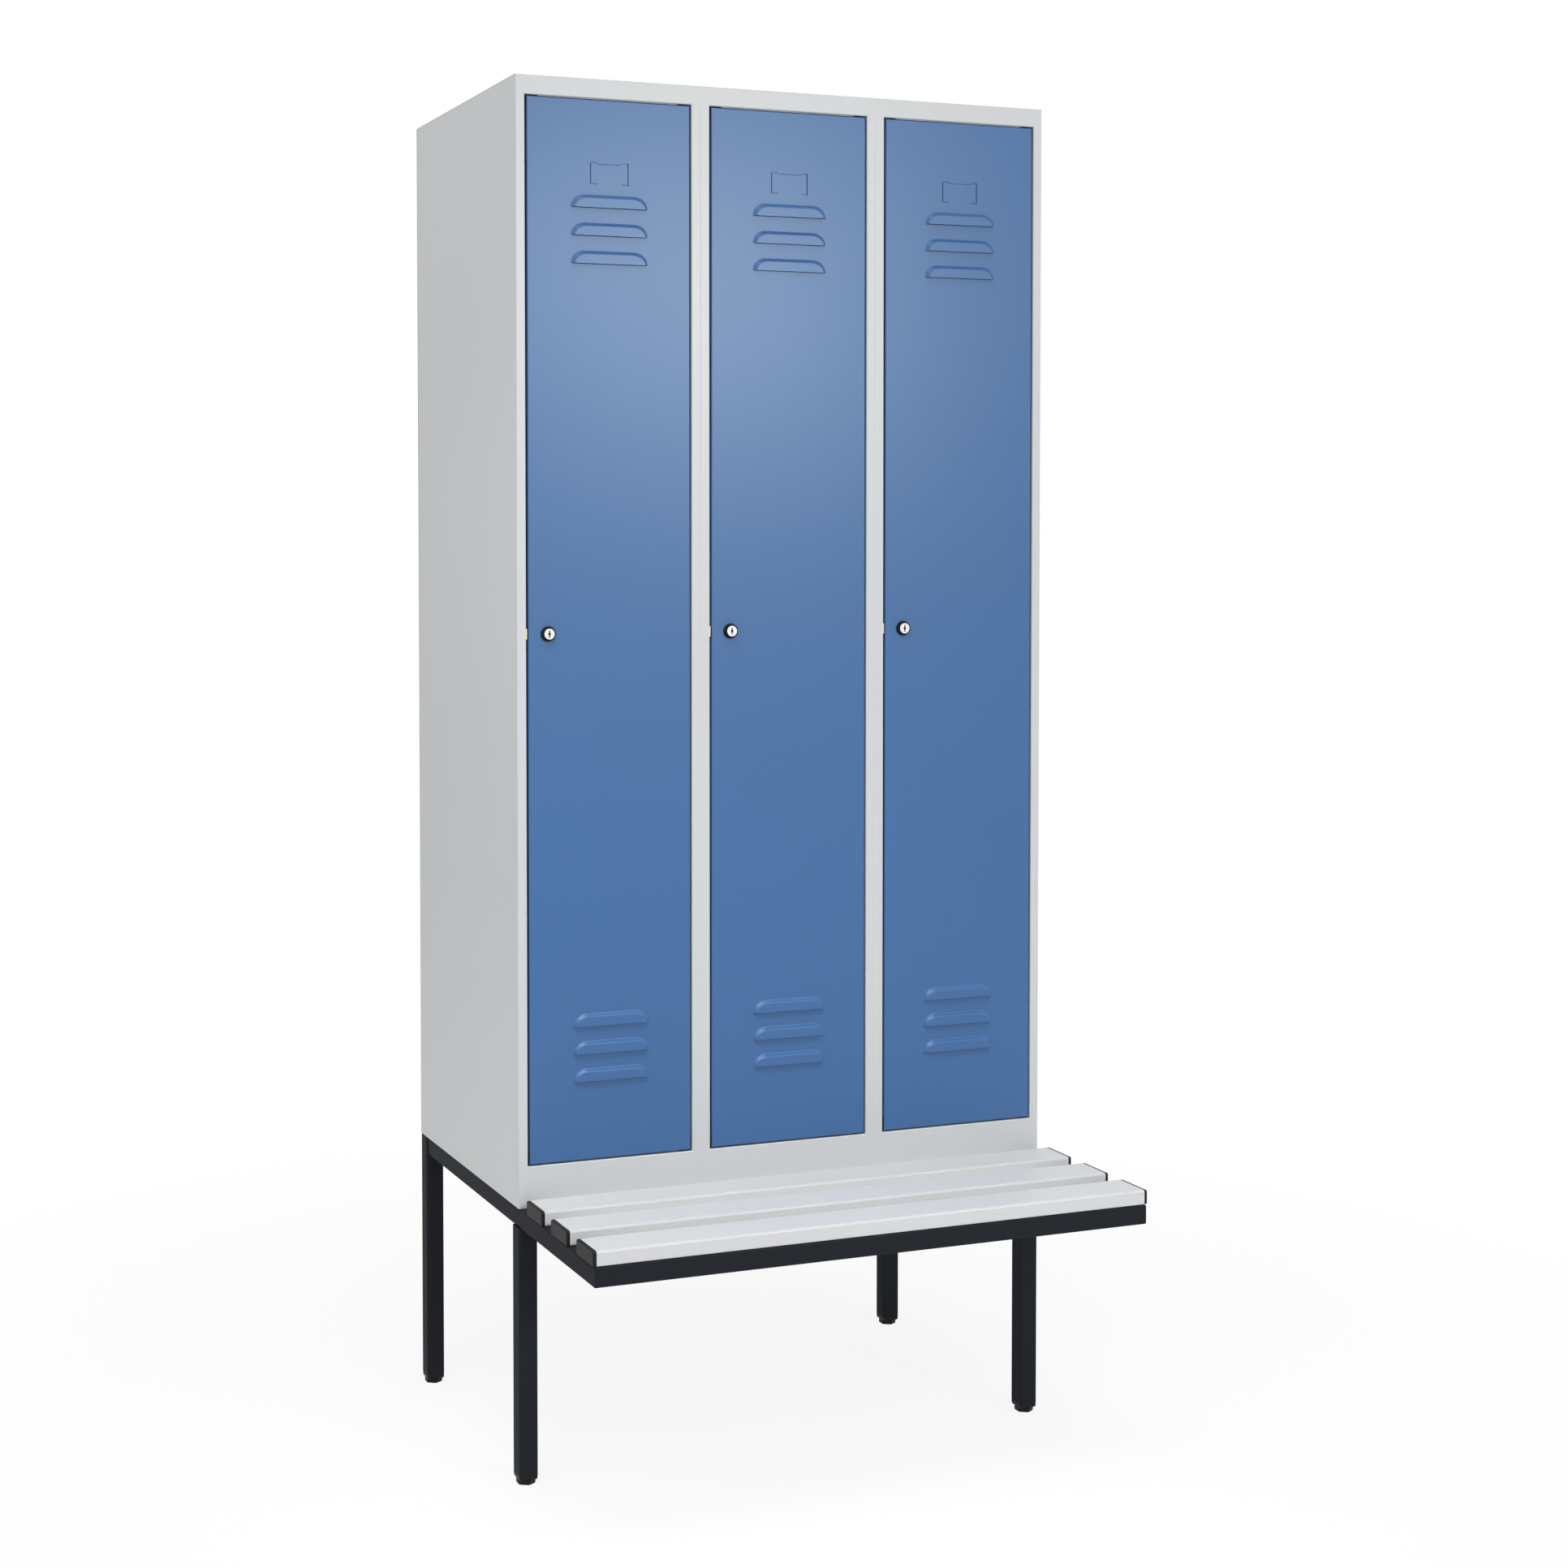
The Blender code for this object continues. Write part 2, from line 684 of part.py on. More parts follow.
def hinge_pins():
    """Both pins of a door, in the door's frame, each with its head under the door's flange."""
    edge = DOOR_HEIGHT / 2
    neck = edge - SHEET / 2
    head = edge - SHEET - PIN_HEAD_HEIGHT
    profile = [
        (0, edge + PIN_REACH), (PIN_RADIUS, edge + PIN_REACH), (PIN_RADIUS, neck),
        (PIN_HEAD_RADIUS, neck), (PIN_HEAD_RADIUS, head), (0, head),
    ]
    pin = turned_mesh("hinge_pin", profile, "Z", SMALL_ROUND_SIDES)
    pins = bmesh.new()
    pins.from_mesh(pin)
    pin.transform(Matrix.Rotation(math.pi, 4, "X"))
    pins.from_mesh(pin)
    return guide("hinge_pins", mesh_from(pins, "hinge_pins"))


# Doors
def pan_mesh():
    """The door's folded pan: a tray open at the back, with lips turned inwards."""
    builder = bmesh.new()
    bmesh.ops.create_cube(builder, size=1.0)
    bmesh.ops.scale(builder, vec=(DOOR_WIDTH, DOOR_DEPTH, DOOR_HEIGHT), verts=builder.verts)
    bmesh.ops.translate(builder, vec=(DOOR_MIDDLE, (DOOR_FACE + DOOR_BACK) / 2, 0),
                        verts=builder.verts)
    rear = [face for face in builder.faces if face.normal.y > 0.5]
    bmesh.ops.delete(builder, geom=rear, context="FACES_ONLY")
    folds = [edge for edge in builder.edges if not edge.is_boundary]
    rounded = bmesh.ops.bevel(builder, geom=folds, offset=FOLD_RADIUS, segments=2, profile=0.5,
                              affect="EDGES", clamp_overlap=True)
    rim = [edge for edge in builder.edges if edge.is_boundary]
    lip = bmesh.ops.extrude_edge_only(builder, edges=rim)
    for vertex in (item for item in lip["geom"] if isinstance(item, bmesh.types.BMVert)):
        x_shift = math.copysign(DOOR_LIP, DOOR_MIDDLE - vertex.co.x)
        z_shift = math.copysign(DOOR_LIP, -vertex.co.z)
        vertex.co.x += x_shift
        vertex.co.z += z_shift
    return mesh_from(builder, "door_pan")


def louver_outline(inset):
    """Upper edge with elliptic shoulders over a flat mouth, as (x, z) from the mouth's middle."""
    half = LOUVER_WIDTH / 2 - inset
    height = LOUVER_HEIGHT - inset
    right = []
    for step in range(LOUVER_STEPS + 1):
        angle = math.pi / 2 * step / LOUVER_STEPS
        right.append((half - LOUVER_SHOULDER * (1 - math.cos(angle)), height * math.sin(angle)))
    return right + [(-x, z) for x, z in reversed(right)]


def louver_form(name, low_outline, low_y, high_outline, high_y, drop):
    """A loft from an outline behind the door's face to a smaller one in front of it."""
    builder = bmesh.new()
    rings = []
    for outline, y in ((low_outline, low_y), (high_outline, high_y)):
        rings.append([builder.verts.new((x, y, z if z > 0 else -drop)) for x, z in outline])
    back, front = rings
    count = len(back)
    for index in range(count):
        after = (index + 1) % count
        builder.faces.new((back[index], back[after], front[after], front[index]))
    builder.faces.new(reversed(back))
    builder.faces.new(front)
    bmesh.ops.recalc_face_normals(builder, faces=builder.faces)
    return mesh_from(builder, name)


def louver_heights():
    """Heights of the louvers' mouths in the door's frame."""
    top = DOOR_HEIGHT / 2 - UPPER_LOUVER_DROP
    bottom = -DOOR_HEIGHT / 2 + LOWER_LOUVER_LIFT
    upper = [top - index * LOUVER_PITCH for index in range(LOUVERS_IN_GROUP)]
    lower = [bottom + index * LOUVER_PITCH for index in range(LOUVERS_IN_GROUP)]
    return upper + lower


def louvers(name, form):
    """The same form at every louver of a door, as one tool."""
    group = bmesh.new()
    for z in louver_heights():
        copy = form.copy()
        copy.transform(Matrix.Translation((DOOR_MIDDLE, DOOR_FACE, z)))
        group.from_mesh(copy)
    return guide(name, mesh_from(group, name))


def louver_hoods():
    outer = louver_form("hood", louver_outline(0), SHEET / 2,
                        louver_outline(LOUVER_SLOPE), -LOUVER_RISE, 0)
    return louvers("louver_hoods", outer)


def louver_pockets():
    """What is pressed out behind each hood, open at its mouth."""
    rise = LOUVER_RISE - SHEET
    reach = 2 * SHEET
    slope = LOUVER_SLOPE / LOUVER_RISE
    inner = louver_form("pocket", louver_outline(SHEET - slope * reach), reach,
                        louver_outline(SHEET + slope * rise), -rise, SEAM)
    return louvers("louver_pockets", inner)


def card_slits():
    """Two bracket-shaped slits, each a back with two arms turned inwards."""
    slits = bmesh.new()
    top = DOOR_HEIGHT / 2 - CARD_DROP
    low = top - CARD_HEIGHT
    for side in (-1, 1):
        outer = CARD_WIDTH / 2
        arm = outer - CARD_ARM
        outline = [
            (arm, top), (outer, top), (outer, low), (arm, low), (arm, low + CARD_SLIT),
            (outer - CARD_SLIT, low + CARD_SLIT), (outer - CARD_SLIT, top - CARD_SLIT),
            (arm, top - CARD_SLIT),
        ]
        flat = [(z, DOOR_MIDDLE + side * x) for x, z in outline]
        slits.from_mesh(drawn_solid("slit", flat, DOOR_FACE - SHEET, DOOR_FACE + 2 * SHEET, "Y"))
    return guide("card_slits", mesh_from(slits, "card_slits"))


def door_mesh():
    pan = give_wall(guide("door_form", pan_mesh()), SHEET)
    join(pan, corner_caps(), hinge_pins())
    barrel = rod_mesh("barrel_hole", BARREL_HOLE_RADIUS, -DOOR_DEPTH / 4, DOOR_DEPTH / 4, "Y")
    cut(pan, card_slits(), guide("barrel_hole", barrel, (LOCK_X, DOOR_FACE, 0)))
    join(pan, louver_hoods())
    cut(pan, louver_pockets())
    return shade_round(baked(pan, "door"))


def stiffener_mesh():
    """A hat section behind the door's face, from flange to flange."""
    face = DOOR_FACE + SHEET + SEAM + SHEET
    crown = face + STIFFENER_DEPTH
    middle = DOOR_RIGHT - STIFFENER_INSET
    half = STIFFENER_WIDTH / 2
    wing = half + STIFFENER_FLANGE
    path = [
        (middle + wing, face), (middle + half, face), (middle + half, crown),
        (middle - half, crown), (middle - half, face), (middle - wing, face),
    ]
    reach = DOOR_HEIGHT / 2 - SHEET - SEAM - FOLD_RADIUS
    surface = drawn_surface("door_stiffener", rounded_path(path, FOLD_RADIUS), -reach, reach, "Z")
    return baked(give_wall(guide("stiffener_form", surface), SHEET), "door_stiffener")


def corner_caps():
    """Four L-shaped plastic pieces pressed onto the door's corners."""
    caps = bmesh.new()
    low_y = DOOR_FACE + CORNER_SET_BACK
    near = -SHEET / 2
    far = CORNER_THICKNESS
    outline = [(far, far), (far, -CORNER_LEG), (near, -CORNER_LEG), (near, near),
               (-CORNER_LEG, near), (-CORNER_LEG, far)]
    for side, edge_x in ((-1, DOOR_LEFT), (1, DOOR_RIGHT)):
        for up in (-1, 1):
            edge_z = up * DOOR_HEIGHT / 2
            flat = [(edge_z + up * z, edge_x + side * x) for x, z in outline]
            caps.from_mesh(drawn_solid("cap", flat, low_y, low_y + CORNER_DEPTH, "Y"))
    return guide("corner_caps", mesh_from(caps, "corner_caps"))


# Locks, drawn about the lock's axis, heights measured from the door's face towards the back
def lock_back():
    """Where the barrel ends behind the door."""
    return STILE_DEPTH + CAM_SET_BACK - 2 * SEAM


def housing_mesh():
    """Rosette and barrel in one, and the nut that clamps them to the door."""
    back = lock_back()
    front = -ROSETTE_HEIGHT
    recess = LOCK_FACE_RADIUS + SEAM
    floor = front + 2 * SHEET
    profile = [
        (LOCK_BORE_RADIUS, back), (LOCK_BARREL_RADIUS, back), (LOCK_BARREL_RADIUS, -SEAM),
        (ROSETTE_RADIUS, -SEAM), (ROSETTE_RADIUS - SHEET / 2, front / 3),
        (ROSETTE_RIM_RADIUS, front), (recess, front), (recess, floor), (LOCK_BORE_RADIUS, floor),
    ]
    housing = guide("housing_form", turned_mesh("lock_housing", profile, "Y"))
    nut_low = SHEET + SEAM
    nut = guide("lock_nut", rod_mesh("lock_nut", LOCK_NUT_RADIUS, nut_low,
                                     nut_low + LOCK_NUT_HEIGHT, "Y", 6))
    thread_radius = (LOCK_BARREL_RADIUS + LOCK_BORE_RADIUS) / 2
    cut(nut, guide("nut_hole", rod_mesh("nut_hole", thread_radius, 0, 2 * LOCK_NUT_HEIGHT, "Y")))
    join(housing, guide("nut_form", baked(nut, "nut_form")))
    return shade_round(baked(housing, "lock_housing"))


def cam_places():
    """Front and back of the cam, from the door's face."""
    front = STILE_DEPTH + CAM_SET_BACK
    return front, front + CAM_THICKNESS


def cylinder_mesh():
    """The turning plug with its keyhole, and the shaft and screw that carry the cam."""
    cam_front, cam_back = cam_places()
    body = LOCK_BORE_RADIUS - TURNING_GAP
    face = -ROSETTE_HEIGHT + SHEET / 2
    face_back = -ROSETTE_HEIGHT + 2 * SHEET - SEAM
    screw_low = cam_back + SEAM
    profile = [
        (0, screw_low + CAM_THICKNESS), (CAM_SCREW_RADIUS, screw_low + CAM_THICKNESS),
        (CAM_SCREW_RADIUS, screw_low), (CAM_SHAFT_RADIUS, screw_low),
        (CAM_SHAFT_RADIUS, cam_front - SEAM), (body, cam_front - SEAM),
        (body, face_back), (LOCK_FACE_RADIUS, face_back), (LOCK_FACE_RADIUS, face), (0, face),
    ]
    plug = guide("plug_form", turned_mesh("lock_cylinder", profile, "Y"))
    slot = span_box("key_slot", (-KEYHOLE_WIDTH / 2, face - SHEET, -KEYHOLE_HEIGHT / 2),
                    (KEYHOLE_WIDTH / 2, face + KEYHOLE_DEPTH, KEYHOLE_HEIGHT / 2))
    middle = rod_mesh("key_middle", KEYHOLE_RADIUS, face - 2 * SHEET,
                      face + KEYHOLE_DEPTH + SHEET, "Y", SMALL_ROUND_SIDES)
    cut(plug, guide("key_slot", slot), guide("key_middle", middle))
    return shade_round(baked(plug, "lock_cylinder"))


def cam_mesh():
    """A flat latch with a round end about the shaft, standing up at rest."""
    front, back = cam_places()
    half = CAM_WIDTH / 2
    outline = []
    for step in range(CAM_END_STEPS + 1):
        angle = math.pi * step / CAM_END_STEPS
        outline.append((-half * math.sin(angle), -half * math.cos(angle)))
    outline += [(CAM_REACH, half), (CAM_REACH, -half)]
    radii = [0] * (CAM_END_STEPS + 1) + [CAM_TIP_RADIUS] * 2
    tip = drawn_solid("lock_cam", rounded_path(outline, radii, closed=True), front, back, "Y")
    form = guide("cam_form", tip)
    hole = rod_mesh("cam_hole", CAM_SHAFT_RADIUS + SEAM, 0, 2 * back, "Y", SMALL_ROUND_SIDES)
    cut(form, guide("cam_hole", hole))
    return baked(form, "lock_cam")


def build_doors():
    door = door_mesh()
    stiffener = stiffener_mesh()
    housing = housing_mesh()
    cylinder = cylinder_mesh()
    cam = cam_mesh()
    for index in range(DOOR_COUNT):
        number = index + 1
        hinge = add_axis(f"door_{number}_hinge", (hinge_x(index), HINGE_Y, DOOR_MID_Z))
        add_part(f"door_{number}", door, "door_blue", parent=hinge)
        add_part(f"door_stiffener_{number}", stiffener, "door_blue", parent=hinge)
        lock = add_axis(f"lock_{number}_axis", (LOCK_X, DOOR_FACE, 0), hinge)
        add_part(f"lock_housing_{number}", housing, "black_plastic", parent=lock)
        add_part(f"lock_cylinder_{number}", cylinder, "nickel", parent=lock)
        add_part(f"lock_cam_{number}", cam, "zinc", parent=lock)


def build_strikes():
    """Wear plates folded round the edge of each lock-side stile."""
    out_x = SEAM + STRIKE_THICKNESS
    back = STILE_BACK_Y + SEAM + STRIKE_THICKNESS
    path = rounded_path([(out_x, back - STRIKE_DEPTH), (out_x, back), (-STRIKE_LIP, back)],
                        FOLD_RADIUS + STRIKE_THICKNESS / 2)
    half = STRIKE_HEIGHT / 2
    plate = drawn_surface("strike_plate", path, -half, half, "Z")
    for index in range(DOOR_COUNT):
        strike = add_part(f"strike_plate_{index + 1}", plate, "yellow_zinc",
                          (opening_left(index), 0, DOOR_MID_Z))
        give_wall(strike, STRIKE_THICKNESS)


# Underframe
def square_outline(middle_u, middle_v, side=TUBE, corner=TUBE_CORNER):
    half = side / 2
    corners = [(middle_u - half, middle_v - half), (middle_u + half, middle_v - half),
               (middle_u + half, middle_v + half), (middle_u - half, middle_v + half)]
    return rounded_path(corners, corner, closed=True)


def square_tube(name, middle, low, high, along):
    surface = drawn_surface(name, square_outline(*middle), low, high, along, closed=True)
    return give_wall(add_part(name, surface, "frame_black"), TUBE_WALL)


def mitre_cutter(name, side, keep_back):
    """A large block whose face lies on the mitre, on the side that is cut away."""
    size = 4 * TUBE
    block = box_mesh(name, (size, size, size), (0, -size / 2, 0))
    turn = -side * math.pi / 4 if keep_back else math.pi - side * math.pi / 4
    kept_way = Matrix.Rotation(turn, 3, "Z") @ Vector((0, 1, 0))
    corner = Vector((side * RAIL_OUTER_X, BENCH_FRONT_Y, RAIL_TOP_Z - TUBE / 2))
    return guide(name, block, corner + kept_way * SEAM / 2, (0, 0, turn))


def build_frame():
    rail_z = RAIL_TOP_Z - TUBE / 2
    for side, hand in ((-1, "left"), (1, "right")):
        leg_x = side * LEG_MIDDLE_X
        square_tube(f"leg_front_{hand}", (leg_x, FRONT_LEG_Y), LEG_LOW_Z, RAIL_LOW_Z - SEAM, "Z")
        square_tube(f"leg_rear_{hand}", (leg_x, REAR_LEG_Y), LEG_LOW_Z, RAIL_TOP_Z, "Z")
        rail = square_tube(f"side_rail_{hand}", (rail_z, side * RAIL_MIDDLE_X),
                           BENCH_FRONT_Y, REAR_LEG_FACE_Y - CONNECTOR_GAP, "Y")
        cut(rail, mitre_cutter(f"side_rail_mitre_{hand}", side, True))
        for _, y in slat_rows():
            join(rail, slat_screw((side * RAIL_MIDDLE_X, y, RAIL_LOW_Z)))
    front = square_tube("bench_front_rail", (BENCH_FRONT_Y + TUBE / 2, rail_z),
                        -RAIL_OUTER_X, RAIL_OUTER_X, "X")
    cut(front, mitre_cutter("front_rail_mitre_left", -1, False),
        mitre_cutter("front_rail_mitre_right", 1, False))
    between_legs = HALF_WIDTH - TUBE - SEAM
    between_rails = RAIL_OUTER_X - TUBE - SEAM
    rear = square_tube("rear_cross_rail", (REAR_LEG_Y, rail_z), -between_legs, between_legs, "X")
    under = square_tube("front_cross_rail", (FRONT_LEG_Y, rail_z), -between_rails, between_rails, "X")
    for side in (-1, 1):
        join(under, carcass_bolt((side * BOLT_OFFSET_X, BOLT_FRONT_Y, BODY_Z)))
        join(rear, carcass_bolt((side * BOLT_OFFSET_X, BOLT_REAR_Y, BODY_Z)))


def build_connectors():
    """Blocks that run from the side rails into the gap before the rear legs."""
    outline = square_outline(0, 0, TUBE_INSERT, TUBE_CORNER - TUBE_WALL)
    block = drawn_solid("rail_connector", outline, -CONNECTOR_GAP - CONNECTOR_INSERT, -SEAM, "Y")
    for side, hand in ((-1, "left"), (1, "right")):
        add_part(f"rail_connector_{hand}", block, "black_plastic",
                 (side * RAIL_MIDDLE_X, REAR_LEG_FACE_Y, RAIL_TOP_Z - TUBE / 2))


# Feet
def leg_places():
    for hand, x in (("left", -LEG_MIDDLE_X), ("right", LEG_MIDDLE_X)):
        yield f"front_{hand}", x, FRONT_LEG_Y
        yield f"rear_{hand}", x, REAR_LEG_Y


def plug_mesh():
    """A flange that tapers down to the foot, an insert in the tube, and the stem's bore."""
    flange = box_mesh("plug_flange", (1, 1, PLUG_FLANGE_HEIGHT), (0, 0, PLUG_FLANGE_HEIGHT / 2))
    upper = TUBE - 2 * PLUG_FLANGE_INSET
    for vertex in flange.vertices:
        side = upper if vertex.co.z > PLUG_FLANGE_HEIGHT / 2 else upper - 2 * PLUG_TAPER
        vertex.co.x *= side
        vertex.co.y *= side
    form = guide("plug_form", flange)
    insert_top = PLUG_FLANGE_HEIGHT + PLUG_INSERT_HEIGHT
    outline = square_outline(0, 0, TUBE_INSERT, TUBE_CORNER - TUBE_WALL)
    insert = drawn_solid("plug_insert", outline, PLUG_FLANGE_HEIGHT / 2, insert_top, "Z")
    join(form, guide("plug_insert", insert))
    bore = rod_mesh("plug_bore", STEM_RADIUS + TURNING_GAP, -TUBE, TUBE, sides=FIXING_SIDES)
    cut(form, guide("plug_bore", bore))
    return baked(form, "leg_plug")


def foot_mesh():
    """A hexagonal disc, a corner to the front, on a stem."""
    radius = FOOT_FLATS / math.sqrt(3)
    builder = bmesh.new()
    bmesh.ops.create_cone(builder, cap_ends=True, segments=6, radius1=radius, radius2=radius,
                          depth=FOOT_HEIGHT)
    corner = max(builder.verts, key=lambda vertex: vertex.co.x).co
    turn = math.pi / 6 if abs(corner.y) < radius / 4 else 0
    bmesh.ops.rotate(builder, matrix=Matrix.Rotation(turn, 3, "Z"), verts=builder.verts)
    bmesh.ops.translate(builder, vec=(0, 0, FOOT_HEIGHT / 2), verts=builder.verts)
    rims = [edge for edge in builder.edges if abs(edge.verts[0].co.z - edge.verts[1].co.z) < SEAM]
    bmesh.ops.bevel(builder, geom=rims, offset=FOOT_CHAMFER, segments=1, profile=0.5,
                    affect="EDGES")
    form = guide("foot_form", mesh_from(builder, "foot_disc"))
    stem = rod_mesh("stem", STEM_RADIUS, FOOT_HEIGHT / 2, FOOT_HEIGHT + STEM_LENGTH,
                    sides=FIXING_SIDES)
    join(form, guide("stem", stem))
    return baked(form, "foot")


def build_feet():
    plug = plug_mesh()
    foot = foot_mesh()
    for name, x, y in leg_places():
        add_part("leg_plug_" + name, plug, "black_plastic", (x, y, PLUG_LOW_Z))
        add_part("foot_" + name, foot, "black_plastic", (x, y, 0))


# Bench
def slat_outline():
    """Section of a slat, as (y, z) from the middle of its underside."""
    half = SLAT_WIDTH / 2
    corners = [(-half, 0), (half, 0), (half, SLAT_THICKNESS), (-half, SLAT_THICKNESS)]
    radii = [SLAT_FOOT_RADIUS, SLAT_FOOT_RADIUS, SLAT_TOP_RADIUS, SLAT_TOP_RADIUS]
    return rounded_path(corners, radii, closed=True)


def slat_rows():
    """Front to back: name and middle of each slat."""
    names = ("front", "middle", "rear")
    for index in range(SLAT_COUNT):
        name = names[index] if SLAT_COUNT == len(names) else str(index + 1)
        yield name, FRONT_SLAT_Y + index * SLAT_PITCH


def end_cap_mesh():
    """A plate of the slat's section, rounded outside, with a block that fits inside the slat."""
    builder = bmesh.new()
    builder.from_mesh(drawn_solid("cap_plate", slat_outline(), 0, CAP_THICKNESS, "X"))
    rim = [edge for edge in builder.edges
           if all(abs(vertex.co.x - CAP_THICKNESS) < SEAM / 4 for vertex in edge.verts)]
    bmesh.ops.bevel(builder, geom=rim, offset=CAP_ROUNDING, segments=2, profile=0.5,
                    affect="EDGES")
    form = guide("cap_form", mesh_from(builder, "cap_plate"))
    half = SLAT_WIDTH / 2 - SLAT_WALL - SEAM - SLAT_TOP_RADIUS / 2
    insert = span_box("cap_insert", (-CAP_INSERT, -half, SLAT_WALL + SEAM),
                      (CAP_THICKNESS / 2, half, SLAT_THICKNESS - SLAT_WALL - SEAM))
    join(form, guide("cap_insert", insert))
    return baked(form, "slat_end_cap")


def build_bench():
    half = SLAT_LENGTH / 2
    cap = end_cap_mesh()
    hole = rod_mesh("slat_screw_hole", SCREW_RADIUS + SEAM, -TUBE / 4, 2 * SLAT_WALL,
                    sides=FIXING_SIDES)
    for row, y in slat_rows():
        name = f"bench_slat_{row}"
        surface = drawn_surface(name, slat_outline(), -half, half, "X", closed=True)
        slat = give_wall(add_part(name, surface, "slat_grey", (0, y, SLAT_LOW_Z)), SLAT_WALL)
        for side, hand in ((-1, "left"), (1, "right")):
            cut(slat, guide("slat_screw_hole", hole, (side * RAIL_MIDDLE_X, y, SLAT_LOW_Z)))
            end = add_part(f"slat_end_cap_{row}_{hand}", cap, "black_plastic",
                           (side * (half + SEAM), y, SLAT_LOW_Z))
            if side < 0:
                end.rotation_euler = (0, 0, math.pi)


# Fixings
def headed_fixing(name, radius, tip, head_radius, head_low, head_height, place):
    """A shank with a hexagon head, its sizes measured along Z from the place it is put."""
    low, high = sorted((tip, head_low + head_height / 2))
    form = guide(name + "_form", rod_mesh(name, head_radius, head_low, head_low + head_height,
                                          sides=6))
    join(form, guide(name + "_shank", rod_mesh(name, radius, low, high, sides=FIXING_SIDES)))
    return guide(name, baked(form, name), place)


def carcass_bolt(place):
    """A bolt down through a flange of the floor into the rail under it."""
    return headed_fixing("carcass_bolt", BOLT_RADIUS, -BOLT_GRIP, BOLT_HEAD_RADIUS,
                         SHEET + SEAM, BOLT_HEAD_HEIGHT, place)


def slat_screw(place):
    """A screw up through a side rail into the underside of a slat."""
    tip = TUBE + SEAM + SLAT_WALL + SCREW_BITE
    return headed_fixing("slat_screw", SCREW_RADIUS, tip, SCREW_HEAD_RADIUS,
                         -SCREW_HEAD_HEIGHT, SCREW_HEAD_HEIGHT, place)


build_sides()
build_dividers()
build_top()
build_floor()
build_back()
build_compartments()
build_strikes()
build_doors()
build_frame()
build_connectors()
build_feet()
build_bench()
bpy.context.view_layer.update()
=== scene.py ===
"""Locker with bench, dressed for the camera: painted sheet steel on a tube underframe."""
import math

import bmesh
import bpy
from mathutils import Matrix, Vector


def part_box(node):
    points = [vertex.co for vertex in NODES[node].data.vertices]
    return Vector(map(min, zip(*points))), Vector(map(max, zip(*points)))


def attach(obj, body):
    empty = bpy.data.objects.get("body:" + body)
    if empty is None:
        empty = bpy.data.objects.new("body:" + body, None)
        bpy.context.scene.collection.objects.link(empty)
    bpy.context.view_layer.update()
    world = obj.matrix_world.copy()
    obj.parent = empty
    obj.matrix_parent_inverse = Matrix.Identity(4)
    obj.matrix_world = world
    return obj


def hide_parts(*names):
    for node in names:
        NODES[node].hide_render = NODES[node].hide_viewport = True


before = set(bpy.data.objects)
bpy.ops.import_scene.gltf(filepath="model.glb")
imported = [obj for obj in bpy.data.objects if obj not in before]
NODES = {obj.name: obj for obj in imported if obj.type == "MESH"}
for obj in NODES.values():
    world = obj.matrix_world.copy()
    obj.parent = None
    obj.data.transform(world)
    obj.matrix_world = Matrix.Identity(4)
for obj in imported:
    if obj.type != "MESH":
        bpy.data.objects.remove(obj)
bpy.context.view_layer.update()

# Colours, as linear values
BODY_GREY = (0.592, 0.606, 0.612)
SLAT_GREY = (0.608, 0.612, 0.614)
DOOR_BLUE = (0.048, 0.134, 0.318)
DOOR_WORN = (0.13, 0.24, 0.45)
DOOR_GLOSS = (0.83, 0.94, 1.0, 1.0)
FRAME_BLACK = (0.0185, 0.0208, 0.0252)
FRAME_WORN = (0.05, 0.05, 0.055)
PLASTIC_BLACK = (0.0125, 0.0130, 0.0140)
# Painted shade: a near-black for the walls and floor of the shallow keyhole, standing in for the
# shade of a deep keyway
PAINTED_KEYHOLE_SHADE = (0.010, 0.010, 0.011)
ZINC = (0.60, 0.60, 0.58)
ZINC_CLOUD = (0.50, 0.51, 0.52)
YELLOW_ZINC = (0.54, 0.50, 0.33)
YELLOW_ZINC_CLOUD = (0.51, 0.45, 0.32)
NICKEL = (0.60, 0.60, 0.59)
NICKEL_CLOUD = (0.55, 0.55, 0.54)
FLOOR_DARK = (0.90, 0.90, 0.90, 1.0)
FLOOR_LIGHT = (0.93, 0.93, 0.93, 1.0)
WHITE = (1.0, 1.0, 1.0, 1.0)
SKY = (0.97, 0.985, 1.0, 1.0)

# Carcass sizes, in metres like all sizes here
SEAM = 0.0003               # gap between two fixed pieces
SHEET = 0.0008
STILE = 0.015
CARCASS_FOLD = 0.0015
TOP_RAIL = 0.029
BOTTOM_RAIL = 0.063

# Door sizes
DOOR_DEPTH = 0.020
DOOR_LIP = 0.012
DOOR_FOLD = 0.0012
DOOR_EASE = 0.0005          # how far the painted fold stands past the drawn edge
FACE_MARGIN = 0.004         # flat strip kept round a louver or the lock
HINGE_INSET = 0.010
HINGE_DEPTH = 0.008
PIN_RADIUS = 0.0025
PIN_TIP_INSET = 0.0006
PIN_TIP_CHAMFER = 0.0008
PIN_REACH = 0.012
PIN_HEAD_RADIUS = 0.0045
PIN_HEAD_HEIGHT = 0.002
PIN_HEAD_CHAMFER = 0.0005
CORNER_LEG = 0.020
CORNER_THICKNESS = 0.002
CORNER_SET_BACK = 0.003
CORNER_DEPTH = 0.013
CORNER_BEVEL = 0.0003
LOUVER_WIDTH = 0.125
LOUVER_HEIGHT = 0.0195
LOUVER_RISE = 0.005
LOUVER_RUN = 0.0060         # how far in from its outline a hood reaches its full height
LOUVER_SHOULDER = 0.0215
LOUVER_PITCH = 0.042
UPPER_LOUVER_DROP = 0.1611
LOWER_LOUVER_LIFT = 0.1205
CARD_WIDTH = 0.0625
CARD_HEIGHT = 0.0335
CARD_DROP = 0.0927
CARD_ARM = 0.0105
CARD_SLIT = 0.0017
CARD_SCORE = 0.0005         # the score line's half width and depth
